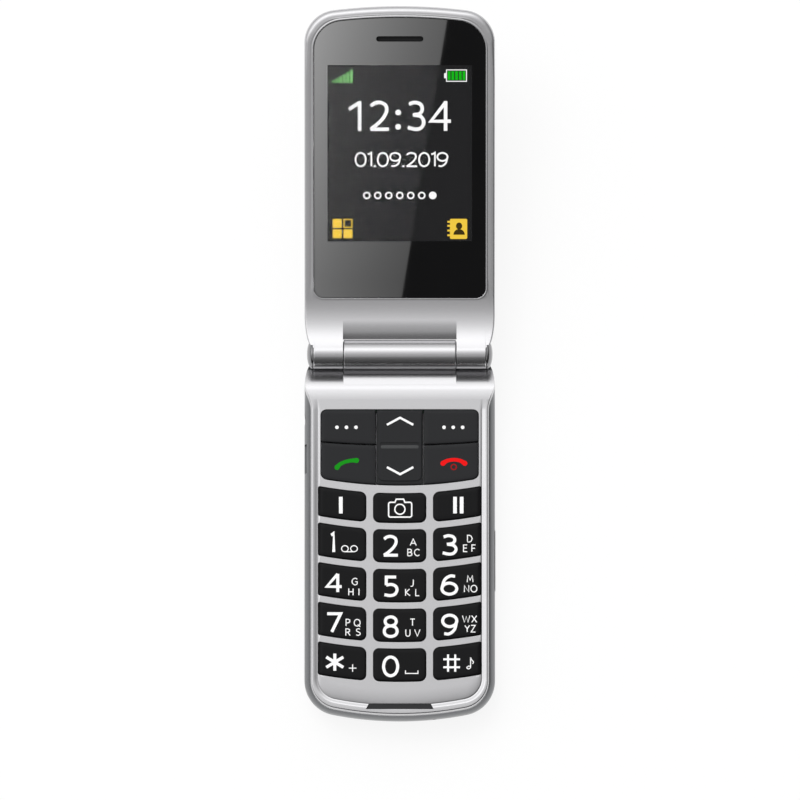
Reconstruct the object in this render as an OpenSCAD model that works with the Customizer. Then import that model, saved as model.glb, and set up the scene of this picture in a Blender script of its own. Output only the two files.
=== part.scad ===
// Clamshell mobile phone with large keys, drawn lying on its back and open.
// Units: millimetres. X is the width, +Y runs from the keypad half to the display half,
// and +Z points out of the keypad. The origin is the middle of the closed footprint, on the table.

/* [Overall] */
// Width of both halves
phone_w = 52; // [50:0.5:60]
// Length of the closed phone, hinge barrel included
phone_l = 104; // [102:0.5:112]
// Length of the display half, from the hinge axis to its tip
lid_l = 95.4; // [94:0.2:96]
// Gap between the two halves when the phone is closed
closed_gap = 1; // [0.8:0.1:1.6]
// Opening angle at which the lid meets its stop
open_angle = 165; // [155:1:168]

/* [Outer shells] */
// Radius of the shallow curve at the foot of the keypad half
foot_bow_r = 95; // [80:5:140]
// Radius of the two corners at the foot of the keypad half
foot_corner_r = 9.5; // [8:0.5:12]
// Radius of the keypad half's corners beside the hinge
hinge_corner_r = 12; // [8:0.5:13]
// Radius of the shallow curve at the tip of the lid
tip_bow_r = 150; // [120:5:200]
// Radius of the two corners at the tip of the lid
tip_corner_r = 9; // [7:0.5:12]
// Thickness of the moulded side walls
wall = 1.6; // [1.2:0.1:2]
// Thickness of the lid's outer skin
lid_skin = 1.2; // [0.9:0.1:1.6]
// How far the front frame of the keypad half stands inside the side walls
frame_inset = 1.6; // [1.2:0.1:2]
// Height of the front frame of the keypad half
frame_h = 2.5; // [2.2:0.1:3]

/* [Hinge] */
// Radius of the hinge barrel and of the knuckles
barrel_r = 4; // [3.6:0.1:4.4]
// Width of the middle barrel, which belongs to the keypad half
barrel_w = 30.7; // [28:0.5:34]
// Distance from the middle of the phone to the outer end of each knuckle
knuckle_end = 23.7; // [23:0.1:24.2]
// Thickness of the cap on each knuckle
cap_t = 1.6; // [1.2:0.1:1.8]
// Gap between the parts that turn past each other
turn_gap = 0.4; // [0.3:0.05:0.6]
// Radius of the spring cartridge of the hinge
cartridge_r = 2.7; // [2.4:0.1:2.9]
// Radius of the shaft that the cartridge turns against
shaft_r = 1.3; // [1:0.1:1.5]
// Radial running clearance of the turning shafts
run_gap = 0.05; // [0.03:0.01:0.08]
// Distance from the hinge axis at which the lid's face starts to rise to the knuckles
ramp_l = 15.5; // [14.8:0.1:15.6]

/* [Display] */
// Width of the frame strip beside the display lens
lens_margin = 2.4; // [2:0.1:3]
// Distance from the hinge axis to the lower edge of the lens
lens_y0 = 15.8; // [15.7:0.1:17]
// Distance from the lens to the tip of the lid
lens_tip_gap = 2.9; // [2:0.1:3.5]
// Thickness of the lens
lens_t = 0.8; // [0.6:0.1:1]
// Width of the black border beside the lit display area
screen_side = 3.9; // [3.6:0.1:5]
// Distance from the lower edge of the lens to the lit area
screen_foot = 15.2; // [14.6:0.2:17]
// Distance from the lit area to the tip of the lid
screen_tip = 16; // [15:0.5:18]
// Width of the display module beyond the lit area, on each side
lcd_border = 1.2; // [1:0.1:1.6]
// Thickness of the display module
lcd_t = 1.8; // [1.4:0.1:2.2]
// Thickness of the steel plate behind the display
plate_t = 0.5; // [0.3:0.1:0.8]
// Length of the earpiece slot
slot_w = 12.6; // [10:0.2:14]
// Height of the earpiece slot
slot_h = 1.2; // [1:0.1:1.6]
// Distance from the earpiece slot to the tip of the lid
slot_tip = 8.8; // [8.4:0.1:9.8]
// Radius of the camera window in the lid's outer skin
camera_r = 3.2; // [2.6:0.1:3.6]
// Distance from the camera to the tip of the lid
camera_tip = 28.4; // [26:0.2:36]
// Room behind the lid's circuit board
lid_room = 2.2; // [2:0.1:2.6]

/* [Keypad] */
// Half of the width of the middle column of keys
key_mid_hw = 7.05; // [6.5:0.05:7.4]
// Gap between the columns of keys
column_gap = 2.25; // [1.8:0.05:2.8]
// Height of a number key
key_h = 8.7; // [8:0.1:8.9]
// Height of the three memory and camera keys
memory_h = 7.8; // [7:0.1:8]
// Gap between the rows of keys
row_gap = 2.2; // [1.8:0.1:2.3]
// Gap between the navigation keys and the row below
nav_gap = 2.5; // [2:0.1:2.6]
// Distance from the hinge axis to the top of the navigation keys
nav_top = 15.3; // [15:0.1:15.6]
// Height of the navigation keys
nav_h = 20.6; // [19:0.1:20.8]
// Half of the width of the navigation keys
nav_hw = 21.4; // [20.5:0.1:21.6]
// Half of the width of the rocker in their middle
rocker_hw = 6.25; // [5.6:0.05:6.8]
// Radius of the curve that the rows of keys follow
row_bow_r = 122; // [100:2:200]
// Radius of the corners of a key
key_corner_r = 1.5; // [1:0.1:2]
// Height of a key above the keypad's face
key_proud = 0.4; // [0.2:0.05:0.5]
// Travel of a key
key_travel = 0.35; // [0.25:0.05:0.5]
// Gap between a key and its opening
key_gap = 0.15; // [0.1:0.05:0.2]
// Width of a key's flange under the face
flange_w = 0.5; // [0.4:0.05:0.6]
// Angle that the rocker tips each way
rocker_tilt = 1.8; // [1.2:0.1:1.9]

/* [Stack of the keypad half] */
// Thickness of the battery cover
cover_t = 1.2; // [1:0.1:1.5]
// Thickness of the battery
battery_t = 4.7; // [4.2:0.1:5.4]
// Distance from the side of the phone to the battery
battery_side = 8; // [7.6:0.1:9]
// Length of the compartment between the hinge and the battery
parts_l = 26.8; // [25.5:0.1:30]
// Thickness of the wall between the battery and the circuit board
floor_t = 0.8; // [0.6:0.1:1]
// Thickness of both circuit boards
board_t = 0.8; // [0.6:0.1:1]
// Thickness of the sheet of contact domes
dome_t = 0.3; // [0.2:0.05:0.4]
// Thickness of the rubber mat under the keys
mat_t = 0.45; // [0.35:0.05:0.6]
// Thickness of the flange of a key
flange_t = 0.5; // [0.4:0.05:0.6]
// Thickness of the keypad's face
deck_t = 1.2; // [1:0.1:1.5]

/* [Details] */
// Length of the battery cover
cover_l = 88; // [80:1:88]
// Width of the thumb recess at the foot of the keypad half
thumb_w = 18.4; // [14:0.2:22]
// Radius of the shanks of all screws
screw_r = 0.7; // [0.6:0.05:0.8]
// Radius of the heads of all screws
head_r = 1.3; // [1.2:0.05:1.4]
// Diameter of the headset plug
headset_d = 3.5; // [3.5:0.1:3.6]
// Width of the charging socket's mouth
socket_w = 7.2; // [6.8:0.1:8]
// Height of the charging socket's mouth
socket_h = 2; // [1.8:0.1:2.2]
// Length of the volume rocker on the side
volume_l = 17; // [14:0.5:20]

/* [Hidden] */
$fn = 64;

over = 1;                   // how far a cutter runs past the face that it opens
fit = 0.1;                  // gap between pieces that are seated in each other
press_gap = 0.1;            // gap left under a key that is pressed all the way
end_steps = 5;              // straight pieces in the arcs of an outline
corner_steps = 8;
bow_steps = 10;
key_steps = 3;

// Heights in the keypad half, from the table upwards
battery_z = cover_t + 2 * fit;
floor_z = battery_z + battery_t + 3 * fit;
board_z = floor_z + floor_t;
dome_z = board_z + board_t;
mat_z = dome_z + dome_t;
mat_top = mat_z + mat_t;
flange_z = mat_top + press_gap + key_travel;
deck_z = flange_z + flange_t + fit;
body_t = deck_z + deck_t;
frame_z = body_t - frame_h;
hinge_z = body_t + closed_gap / 2;

// Lengths along the phone, from the hinge axis
hinge_y = phone_l / 2 - barrel_r;
body_l = phone_l - barrel_r;
hw = phone_w / 2;
screen_w = phone_w - 2 * (lens_margin + screen_side);
screen_y0 = lens_y0 + screen_foot;
screen_y1 = lid_l - screen_tip;
slot_y = lid_l - slot_tip;
camera_y = lid_l - camera_tip;

// Heights in the lid, from the hinge axis; the display looks along +Z
seat_t = 0.9;
face_z = -closed_gap / 2;
seat_z = face_z - lens_t - fit;
inner_z = seat_z - seat_t;
lcd_z = inner_z - fit - lcd_t;
plate_z = lcd_z - fit - plate_t;
lid_board_z = plate_z - fit - board_t;
room_z = lid_board_z - lid_room;
lid_back_z = room_z - lid_skin;
lid_split_z = lcd_z;

// Plate and circuit board behind the display, and half the size of the earpiece speaker
back_hw = screen_w / 2 + lcd_border + 4 * fit;
back_y0 = screen_y0 - 6;
back_y1 = screen_y1 + 2;
camera_hw = camera_r + 1;
camera_seat = 0.4;          // thickness left under the camera window
magnet_x = back_hw - 10;
ear_hw = slot_w / 2 + 1.2;
ear_hh = 3;

// The concave ramp from the lid's face up to its knuckles, tangent to both
ramp_r = (pow(ramp_l, 2) + pow(face_z, 2) - pow(barrel_r, 2)) / (2 * (barrel_r - face_z));
ramp_cz = face_z + ramp_r;
ramp_steps = 10;
lip_y = ramp_l - 6.1;       // where the lid's edge between the knuckles starts to turn down
lip_r = 5;
side_gap = 0.15;            // between the middle barrel and the knuckles beside it
knuckle_x = barrel_w / 2 + side_gap;
notch_r = barrel_r + turn_gap;
lid_edge = 0.8;             // inset of the rounded edge of the lid's frame
cartridge_l = knuckle_end - knuckle_x - 2 * fit;
shaft_in_barrel = 6;
shaft_in_cartridge = 4.5;
tube_bore_r = 0.8;

// The display lens follows the outline of the lid
lens_corner_r = 2.5;
lens_shape = [hw - lens_margin, lens_y0, lid_l - lens_tip_gap, tip_bow_r - lens_margin,
    tip_corner_r - 1, lens_corner_r, lens_y0 + 2 * lens_corner_r];
lid_end_r = 1;
lid_shape = [hw, notch_r, lid_l, tip_bow_r, tip_corner_r, lid_end_r, ramp_l];
lid_round = [lid_split_z - lid_back_z, 3.6];

// The keypad half
flare_y = nav_top;          // the front frame is back at its own width here
body_shape = [hw, -barrel_r, body_l, foot_bow_r, foot_corner_r, hinge_corner_r, flare_y];
back_round = [4, 3];        // height and width of the rounded edge of the back
side_top = 5.5;             // where the side walls start to lean inwards
rim_w = 0.9;                // flat top of the rim around the keypad
groove_w = 0.8;             // width of the groove inside that rim, and its depth
groove_d = 0.9;
deck_edge = 1.1;            // width of the rounded edge of the keypad's face
deck_foot = 3.6;            // length of the slope at the foot of the keypad's face
rim_in = frame_inset + rim_w;
groove_in = rim_in + groove_w;
cavity_in = groove_in + fit;
root_l = 12.5;              // length of the block that ties the barrel to the front housing

// Screws of the keypad half, from the hinge axis
screw_places = [for (s = [-1, 1]) each [[s * (hw - 7), root_l - 1.5], [s * (hw - 6.2), body_l - 8.5]]];
boss_r = screw_r + 0.9;
screw_seat_z = cover_t + 1;
screw_tip = 0.4;            // the screws end this far below the keypad's face underside
lid_screw_places = [for (s = [-1, 1]) each [[s * (hw - 6), ramp_l + 4.1], [s * (hw - 7.7), lid_l - 8.6]]];
lid_screw_l = 4.6;
screw_head_h = 0.5;

// Compartments of the keypad half, from the hinge axis
rib = 1;                    // thickness of the walls between the compartments
parts_y0 = root_l + 1.7;
parts_y1 = parts_y0 + parts_l;
bay_y0 = parts_y1 + rib;
bay_y1 = body_l - 5.8;
battery_l = bay_y1 - bay_y0 - 2 * fit;
battery_w = phone_w - 2 * battery_side;
bay_hw = battery_w / 2 + 2 * fit;
parts_hw = hw - 6.4;
parts_z = screw_seat_z;
foot_y0 = bay_y1 + rib - 2 * fit;   // slot for the antenna and the microphone
foot_y1 = foot_y0 + 2.6;
hollow_w = 2.8;             // hollows in the walls beside the battery
hollow_y0 = bay_y0 + battery_l / 2;
hollow_y1 = body_l - 15.8;
cover_in = back_round[1] + 2 * fit;
cover_y1 = body_l - cover_in;
contacts_hw = 4.5;
contacts_l = 4;

// Rows and columns of keys
nav_bottom = nav_top + nav_h;
nav_split = nav_top + 0.47 * nav_h;
memory_y = nav_bottom + nav_gap;
numbers_y = memory_y + memory_h + row_gap;
keys_end = numbers_y + 4 * key_h + 3 * row_gap + flange_w + 3 * fit;
cavity_x = hw - cavity_in;
side_x0 = key_mid_hw + column_gap;
side_x1 = cavity_x - 2 * key_gap;
sharp = 0.4;                // corner radius of a side key beside the rim
groove_shape = [hw, root_l / 2 - rim_in, body_l, foot_bow_r, foot_corner_r, 2 + rim_in, flare_y];
cavity_shape = [cavity_x, root_l + 3 * fit, body_l - cavity_in, foot_bow_r - cavity_in,
    foot_corner_r - cavity_in, 2 * fit, flare_y];

// Sockets, microphone, loudspeaker and volume rocker, from the hinge axis
jack_r = 2.45;
jack_l = 13;
jack_y = parts_y0 + 3;
jack_z = (parts_z + board_z) / 2;
usb_w = socket_w + 0.6;
usb_h = socket_h + 0.6;
usb_y = parts_y0 + 14;
usb_z = board_z - usb_h / 2 - fit / 2;
microphone_x = 9.4;
microphone_r = 1.2;
microphone_h = 3.2;
antenna_l = 18.5;
antenna_x0 = microphone_x - 2 * microphone_r - antenna_l;
speaker_w = 15;
speaker_l = 11;
speaker_h = 3.2;
speaker_x = speaker_w / 2 - parts_hw + 6.1;
speaker_y = parts_y1 - contacts_l - 3 * fit - speaker_l / 2;
sound_w = 8;                // length of the slots over the loudspeaker
motor_l = 8;
motor_r = 2.2;
motor_x = parts_hw - 9.6;
sim_x = speaker_x + speaker_w / 2;
sim_w = parts_hw - 2.1 - sim_x;
sim_l = 12.5;
sim_y = parts_y1 - contacts_l - 1.4 - sim_l;
sim_t = 1.6;
volume_y = body_l / 2 + 6;
volume_z = 4.6;
volume_x = hw - 2.6;        // inner face of the volume rocker
volume_h = 2.6;
volume_lip = 0.6;           // what its flange adds on every side
volume_proud = 0.25;

// A circular arc as a list of points
function arc(cx, cy, r, a0, a1, n) =
    [for (i = [0:n]) let (a = a0 + (a1 - a0) * i / n) [cx + r * cos(a), cy + r * sin(a)]];

// Outline of one half, from its hinge end y0 to its bowed end y1. rc rounds the corners at y1
// and re those at y0; flare widens the hinge end.
function half_outline(w, y0, y1, bow, rc, re, flare, y_flare) =
    let (
        k = sqrt(pow(bow - rc, 2) - pow(w - rc, 2)),
        t = atan2(k, w - rc),
        yc = y1 - bow + k,
        we = w + flare
    )
    concat(
        arc(we - re, y0 + re, re, -90, 0, end_steps),
        [[w, max(y_flare, y0 + re + 1)]],
        arc(w - rc, yc, rc, 0, t, corner_steps),
        [for (i = [1:bow_steps - 1]) let (a = t + (180 - 2 * t) * i / bow_steps)
            [bow * cos(a), y1 - bow + bow * sin(a)]],
        arc(rc - w, yc, rc, 180 - t, 180, corner_steps),
        [[-w, max(y_flare, y0 + re + 1)]],
        arc(re - we, y0 + re, re, 180, 270, end_steps)
    );

// The outline of a shape, moved inwards; the hinge end may be flared back out
function inset_outline(shape, inset, flare = 0) =
    half_outline(shape[0] - inset, shape[1] + inset - flare, shape[2] - inset, shape[3] - inset,
        max(shape[4] - inset, 0.2), max(shape[5] - inset + flare, 0.2), flare, shape[6]);

// Heights and insets along a quarter of an ellipse, from its flat end to its upright end
function edge_steps(h, w, n = 5) =
    [for (i = [0:n]) let (a = 90 * i / n) [h * (1 - cos(a)), w * (1 - sin(a))]];

// A solid through [height, outline] rings with equal numbers of points, lowest first
module loft(rings) {
    n = len(rings[0][1]);
    top = (len(rings) - 1) * n;
    polyhedron(
        [for (ring = rings) for (p = ring[1]) [p.x, p.y, ring[0]]],
        concat(
            [[for (i = [0:n - 1]) i]],
            [[for (i = [n - 1:-1:0]) top + i]],
            [for (k = [0:len(rings) - 2]) for (i = [0:n - 1])
                let (a = k * n + i, b = k * n + (i + 1) % n)
                each [[a, a + n, b + n], [a, b + n, b]]]
        ));
}

// A plate between two heights
module plate(outline, z0, z1) {
    translate([0, 0, z0]) linear_extrude(z1 - z0) polygon(outline);
}

// A box from one corner to the other
module block(x0, x1, y0, y1, z0, z1) {
    translate([x0, y0, z0]) cube([x1 - x0, y1 - y0, z1 - z0]);
}

// A cylinder along X, on the hinge axis of the current frame
module axle(r, x0, x1) {
    translate([x0, 0, 0]) rotate([0, 90, 0]) cylinder(r = r, h = x1 - x0);
}

// A [y, z] profile carried along X
module bar_of(profile, x0, x1) {
    translate([x0, 0, 0]) rotate([90, 0, 90]) linear_extrude(x1 - x0) polygon(profile);
}

// Keypad half: y is the distance from the hinge axis towards the foot, z is above the table
module base_frame() {
    translate([0, hinge_y, 0]) mirror([0, 1, 0]) children();
}

// Lid: y is the distance from the hinge axis towards the tip, z is from the axis
module lid_frame() {
    translate([0, hinge_y, hinge_z]) rotate([180 - open_angle, 0, 0]) children();
}

// Hinge axis inside the frame of the keypad half
module at_axis() {
    translate([0, 0, hinge_z]) children();
}

// ---- Lid ----

// Side view of a knuckle's ramp, down to a floor that lies inside the lid's plate
function ramp_profile() = concat(
    arc(ramp_l, ramp_cz, ramp_r, 270, 180 + atan2(ramp_cz, ramp_l), ramp_steps),
    [[0, 0], [0, inner_z], [ramp_l, inner_z]]
);

// Side view of the lid's edge between the knuckles: the ramp, then a round lip
function lip_profile() =
    let (
        a0 = 180 + acos((ramp_l - lip_y) / ramp_r),
        lip_c = [ramp_l + (ramp_r + lip_r) * cos(a0), ramp_cz + (ramp_r + lip_r) * sin(a0)]
    )
    concat(
        arc(ramp_l, ramp_cz, ramp_r, 270, a0, ramp_steps / 2),
        arc(lip_c.x, lip_c.y, lip_r, a0 - 180, 140, ramp_steps / 2),
        [[notch_r, inner_z], [ramp_l, inner_z]]
    );

// Plan of the display lens, made larger by grow
function lens_outline(grow = 0) = inset_outline(lens_shape, -grow);

// The earpiece slot, a bar with round ends, made larger by grow
module slot_bar(grow, z0, z1) {
    r = slot_h / 2 + grow;
    x = (slot_w - slot_h) / 2;
    block(-x, x, slot_y - r, slot_y + r, z0, z1);
    for (s = [-1, 1])
        translate([s * x, slot_y, z0]) cylinder(r = r, h = z1 - z0);
}

// One knuckle on the right, with the ramp that joins it to the lid's face
module knuckle() {
    ramp_end = hw - lid_edge;
    axle(barrel_r, knuckle_x, knuckle_end);
    bar_of(ramp_profile(), knuckle_x, knuckle_end);
    difference() {
        bar_of(ramp_profile(), knuckle_end, ramp_end);
        axle(barrel_r + fit, knuckle_end, ramp_end + over);
    }
}

module lid_screw_holes(r, z0, z1) {
    for (p = lid_screw_places)
        translate([p.x, p.y, z0]) cylinder(r = r, h = z1 - z0);
}

module lid_inner_housing() {
    edge = edge_steps(0.9, lid_edge, 4);
    color("silver") lid_frame() difference() {
        union() {
            loft(concat(
                [[lid_split_z, inset_outline(lid_shape, 0)]],
                [for (i = [len(edge) - 1:-1:0])
                    [face_z - edge[i].x, inset_outline(lid_shape, edge[i].y)]]
            ));
            knuckle();
            mirror([1, 0, 0]) knuckle();
            bar_of(lip_profile(), -knuckle_x - fit, knuckle_x + fit);
        }
        axle(notch_r, -knuckle_x, knuckle_x);
        plate(lens_outline(fit), seat_z, face_z + over);
        block(-screen_w / 2 - fit, screen_w / 2 + fit, screen_y0 - fit, screen_y1 + fit,
            inner_z - over, seat_z + over);
        slot_bar(0, inner_z - over, seat_z + over);
        slot_bar(0.6, seat_z - 3 * fit, seat_z + over);
        plate(inset_outline([hw, ramp_l, lid_l, tip_bow_r, tip_corner_r, 3, ramp_l + 9], wall),
            lid_split_z - over, inner_z);
        for (s = [-1, 1])
            axle(s < 0 ? cartridge_r + fit / 2 : shaft_r + run_gap,
                s < 0 ? -knuckle_end - over : knuckle_x - over,
                s < 0 ? -knuckle_x + over : knuckle_end + over);
        lid_screw_holes(screw_r + fit, inner_z - over, seat_z + over);
        lid_screw_holes(head_r + fit, seat_z - screw_head_h - fit, seat_z + over);
    }
}

module lid_outer_cover() {
    edge = edge_steps(lid_round[0], lid_round[1]);
    room = room_z - lid_back_z;
    color("#26272a") lid_frame() {
        difference() {
            loft([for (e = edge) [lid_back_z + e.x, inset_outline(lid_shape, e.y)]]);
            loft([for (h = [room, 0.6 * lid_round[0], lid_round[0] + over])
                [lid_back_z + h, inset_outline(lid_shape, wall + lid_round[1]
                    * (1 - sqrt(1 - pow(max(1 - h / lid_round[0], 0), 2))))]]);
            translate([0, camera_y, lid_back_z - over])
                cylinder(r = camera_r - 0.5, h = lid_skin + 2 * over);
            translate([0, camera_y, lid_back_z - over])
                cylinder(r = camera_r + fit / 2, h = over + lid_skin - camera_seat);
        }
        difference() {
            lid_screw_holes(boss_r + 0.1, room_z - fit, inner_z - fit);
            lid_screw_holes(screw_r + fit / 2, inner_z - lid_screw_l, inner_z);
        }
    }
}

module display_lens() {
    color("#1b1c1e") lid_frame() difference() {
        plate(lens_outline(), face_z - lens_t, face_z);
        slot_bar(0, seat_z - over, face_z + over);
    }
}

// Liquid crystal panel with its light guide, and the driver's ledge below the picture
module display_module() {
    x = screen_w / 2 + lcd_border;
    ledge = 3.5;
    color("#30343a") lid_frame() {
        block(-x, x, screen_y0 - lcd_border, screen_y1 + lcd_border, lcd_z, inner_z - fit);
        block(-x, x, screen_y0 - lcd_border - ledge, screen_y0 - lcd_border, lcd_z, lcd_z + lcd_t / 2);
    }
}

module display_plate() {
    color("lightgray") lid_frame()
        block(-back_hw, back_hw, back_y0, back_y1, plate_z, plate_z + plate_t);
}

module lid_board() {
    color("seagreen") lid_frame() {
        block(-back_hw, back_hw, back_y0, back_y1, lid_board_z, lid_board_z + board_t);
        block(-1.7 * ear_hw, 1.7 * ear_hw, back_y1, slot_y + ear_hh + 4 * fit, lid_board_z,
            lid_board_z + board_t);
    }
}

module earpiece_speaker() {
    color("dimgray") lid_frame() {
        block(-ear_hw, ear_hw, slot_y - ear_hh, slot_y + ear_hh, lid_board_z + board_t + fit,
            inner_z - 5 * fit);
        block(1 - ear_hw, ear_hw - 1, slot_y - ear_hh + 1, slot_y + ear_hh - 1, inner_z - 5 * fit,
            inner_z - fit);
    }
}

module earpiece_mesh() {
    color("black") lid_frame() slot_bar(0.5, seat_z - 0.25, seat_z - 0.05);
}

module camera_module() {
    color("#202225") lid_frame() {
        block(-camera_hw, camera_hw, camera_y - camera_hw, camera_y + camera_hw, room_z + fit,
            lid_board_z - fit / 2);
        translate([0, camera_y, lid_back_z + 0.9])
            cylinder(r = camera_r - 0.7, h = room_z + 2 * fit - lid_back_z - 0.9);
    }
}

module camera_window() {
    color("#101114") lid_frame() translate([0, camera_y, lid_back_z + fit])
        cylinder(r = camera_r - fit / 2, h = lid_skin - camera_seat - 2 * fit);
}

// The magnet that tells the phone that it is closed
module lid_magnet() {
    color("gray") lid_frame()
        block(magnet_x, magnet_x + 5, ramp_l + 3.2, ramp_l + 5.4, inner_z - 1.7, inner_z - fit);
}

module lid_screws() {
    color("gray") lid_frame() {
        lid_screw_holes(head_r, seat_z - screw_head_h, seat_z);
        lid_screw_holes(screw_r, inner_z - lid_screw_l + fit, seat_z - screw_head_h);
    }
}

// ---- Hinge ----

// Spring cartridge in the left knuckle: it turns with the lid, around the shaft
module hinge_cartridge() {
    x0 = -knuckle_x - fit - cartridge_l;
    color("lightsteelblue") lid_frame() difference() {
        axle(cartridge_r, x0, x0 + cartridge_l);
        axle(shaft_r + run_gap, -knuckle_x - shaft_in_cartridge - 2 * fit, -knuckle_x + over);
    }
}

// Shallow domes over the outer ends of the knuckles
module hinge_end_caps() {
    profile = concat([[0, 0], [barrel_r, 0]],
        [for (a = [12:13:77]) [barrel_r * cos(a), cap_t * sin(a)]], [[0, cap_t]]);
    color("silver") lid_frame() for (s = [0, 1])
        mirror([s, 0, 0]) translate([knuckle_end + fit / 2, 0, 0])
            rotate([0, 90, 0]) rotate_extrude() polygon(profile);
}

// Shaft that stands still in the barrel while the cartridge turns on it
module hinge_shaft() {
    color("gainsboro") base_frame() at_axis()
        axle(shaft_r, -knuckle_x - shaft_in_cartridge, -barrel_w / 2 + shaft_in_barrel);
}

// Hollow pivot in the right knuckle, with the way for the ribbon cable
module hinge_tube() {
    color("gainsboro") base_frame() at_axis() difference() {
        axle(shaft_r, barrel_w / 2 - shaft_in_barrel, knuckle_end - 3 * fit);
        axle(tube_bore_r, 0, knuckle_end + over);
    }
}

// The ribbon cable, rolled up where it passes through the pivot
module hinge_ribbon() {
    color("orange") base_frame() at_axis()
        axle(tube_bore_r - fit, barrel_w / 2 - shaft_in_barrel + fit, knuckle_end - 5 * fit);
}

// ---- Keypad half ----

// Everything above the curve that makes room for the closed lid's ramps, from the axis
module scoop() {
    y_in = barrel_r - 0.8;
    r = ramp_r - closed_gap;
    a1 = 90 + asin((ramp_l - y_in) / r);
    at_axis() bar_of(concat(
        arc(ramp_l, -ramp_cz, r, 90, a1, ramp_steps),
        [[y_in, barrel_r + over], [ramp_l, barrel_r + over]]
    ), -hw - over, hw + over);
}

// Room for the knuckles beside the middle barrel
module knuckle_notches() {
    for (s = [0, 1]) mirror([s, 0, 0]) {
        at_axis() axle(notch_r, barrel_w / 2, hw + over);
        block(barrel_w / 2, hw + over, -barrel_r - over, 0, frame_z, hinge_z + barrel_r);
    }
}

// A shape for each screw of the keypad half
module at_screws() {
    for (p = screw_places) translate([p.x, p.y, 0]) children();
}

// Rounded-edged face of the keypad, with its long slope at the foot
module deck() {
    steps = edge_steps(groove_d, deck_edge, 4);
    loft([for (i = [len(steps) - 1:-1:0]) [body_t - steps[i].x,
        inset_outline([hw, 0, body_l - deck_foot * steps[i].y / deck_edge, foot_bow_r,
            foot_corner_r, 2, flare_y], groove_in + steps[i].y)]]);
}

// Plan of a key: a rectangle with round corners, bent so that its outer end is nearer to the
// hinge. The bend grows from bend0 at the height y_bend0 to bend1 at y_bend1.
function key_outline(x0, x1, y0, y1, r, bends = [1, 1], y_bends = [0, 1]) =
    let (
        long = [for (i = [1:key_steps]) i / (key_steps + 1)],
        rect = concat(
            arc(x1 - r[1], y0 + r[1], r[1], -90, 0, key_steps),
            arc(x1 - r[2], y1 - r[2], r[2], 0, 90, key_steps),
            [for (t = long) [x1 - r[2] + (x0 + r[3] - x1 + r[2]) * t, y1]],
            arc(x0 + r[3], y1 - r[3], r[3], 90, 180, key_steps),
            arc(x0 + r[0], y0 + r[0], r[0], 180, 270, key_steps),
            [for (t = long) [x0 + r[0] + (x1 - r[1] - x0 - r[0]) * t, y0]]
        )
    )
    [for (p = rect) [p.x, p.y - pow(p.x, 2) / (2 * row_bow_r)
        * (bends[0] + (bends[1] - bends[0]) * (p.y - y_bends[0]) / (y_bends[1] - y_bends[0]))]];

// Plan of the key in a column (-1, 0 or 1) between two heights, made larger by grow;
// flange widens it towards its neighbours but not towards the rim
function number_outline(column, y0, y1, grow = 0, flange = 0) =
    let (
        r = key_corner_r + grow,
        g = grow + flange,
        x0 = column == 0 ? -key_mid_hw - g : side_x0 - g,
        x1 = column == 0 ? key_mid_hw + g : side_x1 + grow,
        r1 = column == 0 ? r : sharp,
        points = key_outline(x0, x1, y0 - g, y1 + g, [r, r1, r1, r])
    )
    column < 0 ? mirrored(points) : points;

function mirrored(points) = [for (i = [len(points) - 1:-1:0]) [-points[i].x, points[i].y]];

function row_y(row) = row == 0 ? memory_y : numbers_y + (row - 1) * (key_h + row_gap);
function row_h(row) = row == 0 ? memory_h : key_h;

// Plan of a navigation key; the whole group has straight sides, a straight top and a bent foot
function nav_outline(x0, x1, y0, y1, r) =
    key_outline(x0, x1, y0, y1, r, [0, 1], [nav_top, nav_bottom]);

// Opening for the whole navigation group
function nav_opening() = nav_outline(-nav_hw - key_gap, nav_hw + key_gap, nav_top - key_gap,
    nav_bottom + key_gap, [for (i = [0:3]) key_corner_r + key_gap]);

// One key: its cap through the face of the keypad, and its flange under it
module number_key(column, row) {
    y0 = row_y(row);
    y1 = y0 + row_h(row);
    color("#222325") base_frame() {
        plate(number_outline(column, y0, y1, 0, flange_w), flange_z, flange_z + flange_t);
        plate(number_outline(column, y0, y1), flange_z + flange_t, body_t + key_proud);
    }
}

// One key of the navigation group on the left or on the right (side -1 or 1)
module nav_key(side, y0, y1, r) {
    x0 = rocker_hw + 2 * key_gap;
    points = nav_outline(x0, nav_hw, y0, y1, r);
    color("#2b2c2e") base_frame()
        plate(side < 0 ? mirrored(points) : points, flange_z, body_t + key_proud);
}

module soft_key_left() {
    nav_key(-1, nav_top, nav_split - key_gap, [sharp, key_corner_r, sharp, sharp]);
}

module soft_key_right() {
    nav_key(1, nav_top, nav_split - key_gap, [sharp, key_corner_r, sharp, sharp]);
}

module call_key() {
    nav_key(-1, nav_split + key_gap, nav_bottom, [sharp, sharp, key_corner_r, sharp]);
}

module end_key() {
    nav_key(1, nav_split + key_gap, nav_bottom, [sharp, sharp, key_corner_r, sharp]);
}

// The rocker tips about the rib under its middle
module nav_rocker() {
    mid = (nav_top + nav_bottom) / 2;
    color("#2b2c2e") base_frame() {
        plate(nav_outline(-rocker_hw, rocker_hw, nav_top, nav_bottom, [sharp, sharp, sharp, sharp]),
            flange_z, body_t + key_proud);
        block(-4, 4, mid - 0.4, mid + 0.4, mat_top + fit / 2, flange_z);
    }
}

module memory_key_1() { number_key(-1, 0); }
module camera_key() { number_key(0, 0); }
module memory_key_2() { number_key(1, 0); }
module key_1() { number_key(-1, 1); }
module key_2() { number_key(0, 1); }
module key_3() { number_key(1, 1); }
module key_4() { number_key(-1, 2); }
module key_5() { number_key(0, 2); }
module key_6() { number_key(1, 2); }
module key_7() { number_key(-1, 3); }
module key_8() { number_key(0, 3); }
module key_9() { number_key(1, 3); }
module key_star() { number_key(-1, 4); }
module key_0() { number_key(0, 4); }
module key_hash() { number_key(1, 4); }

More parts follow.
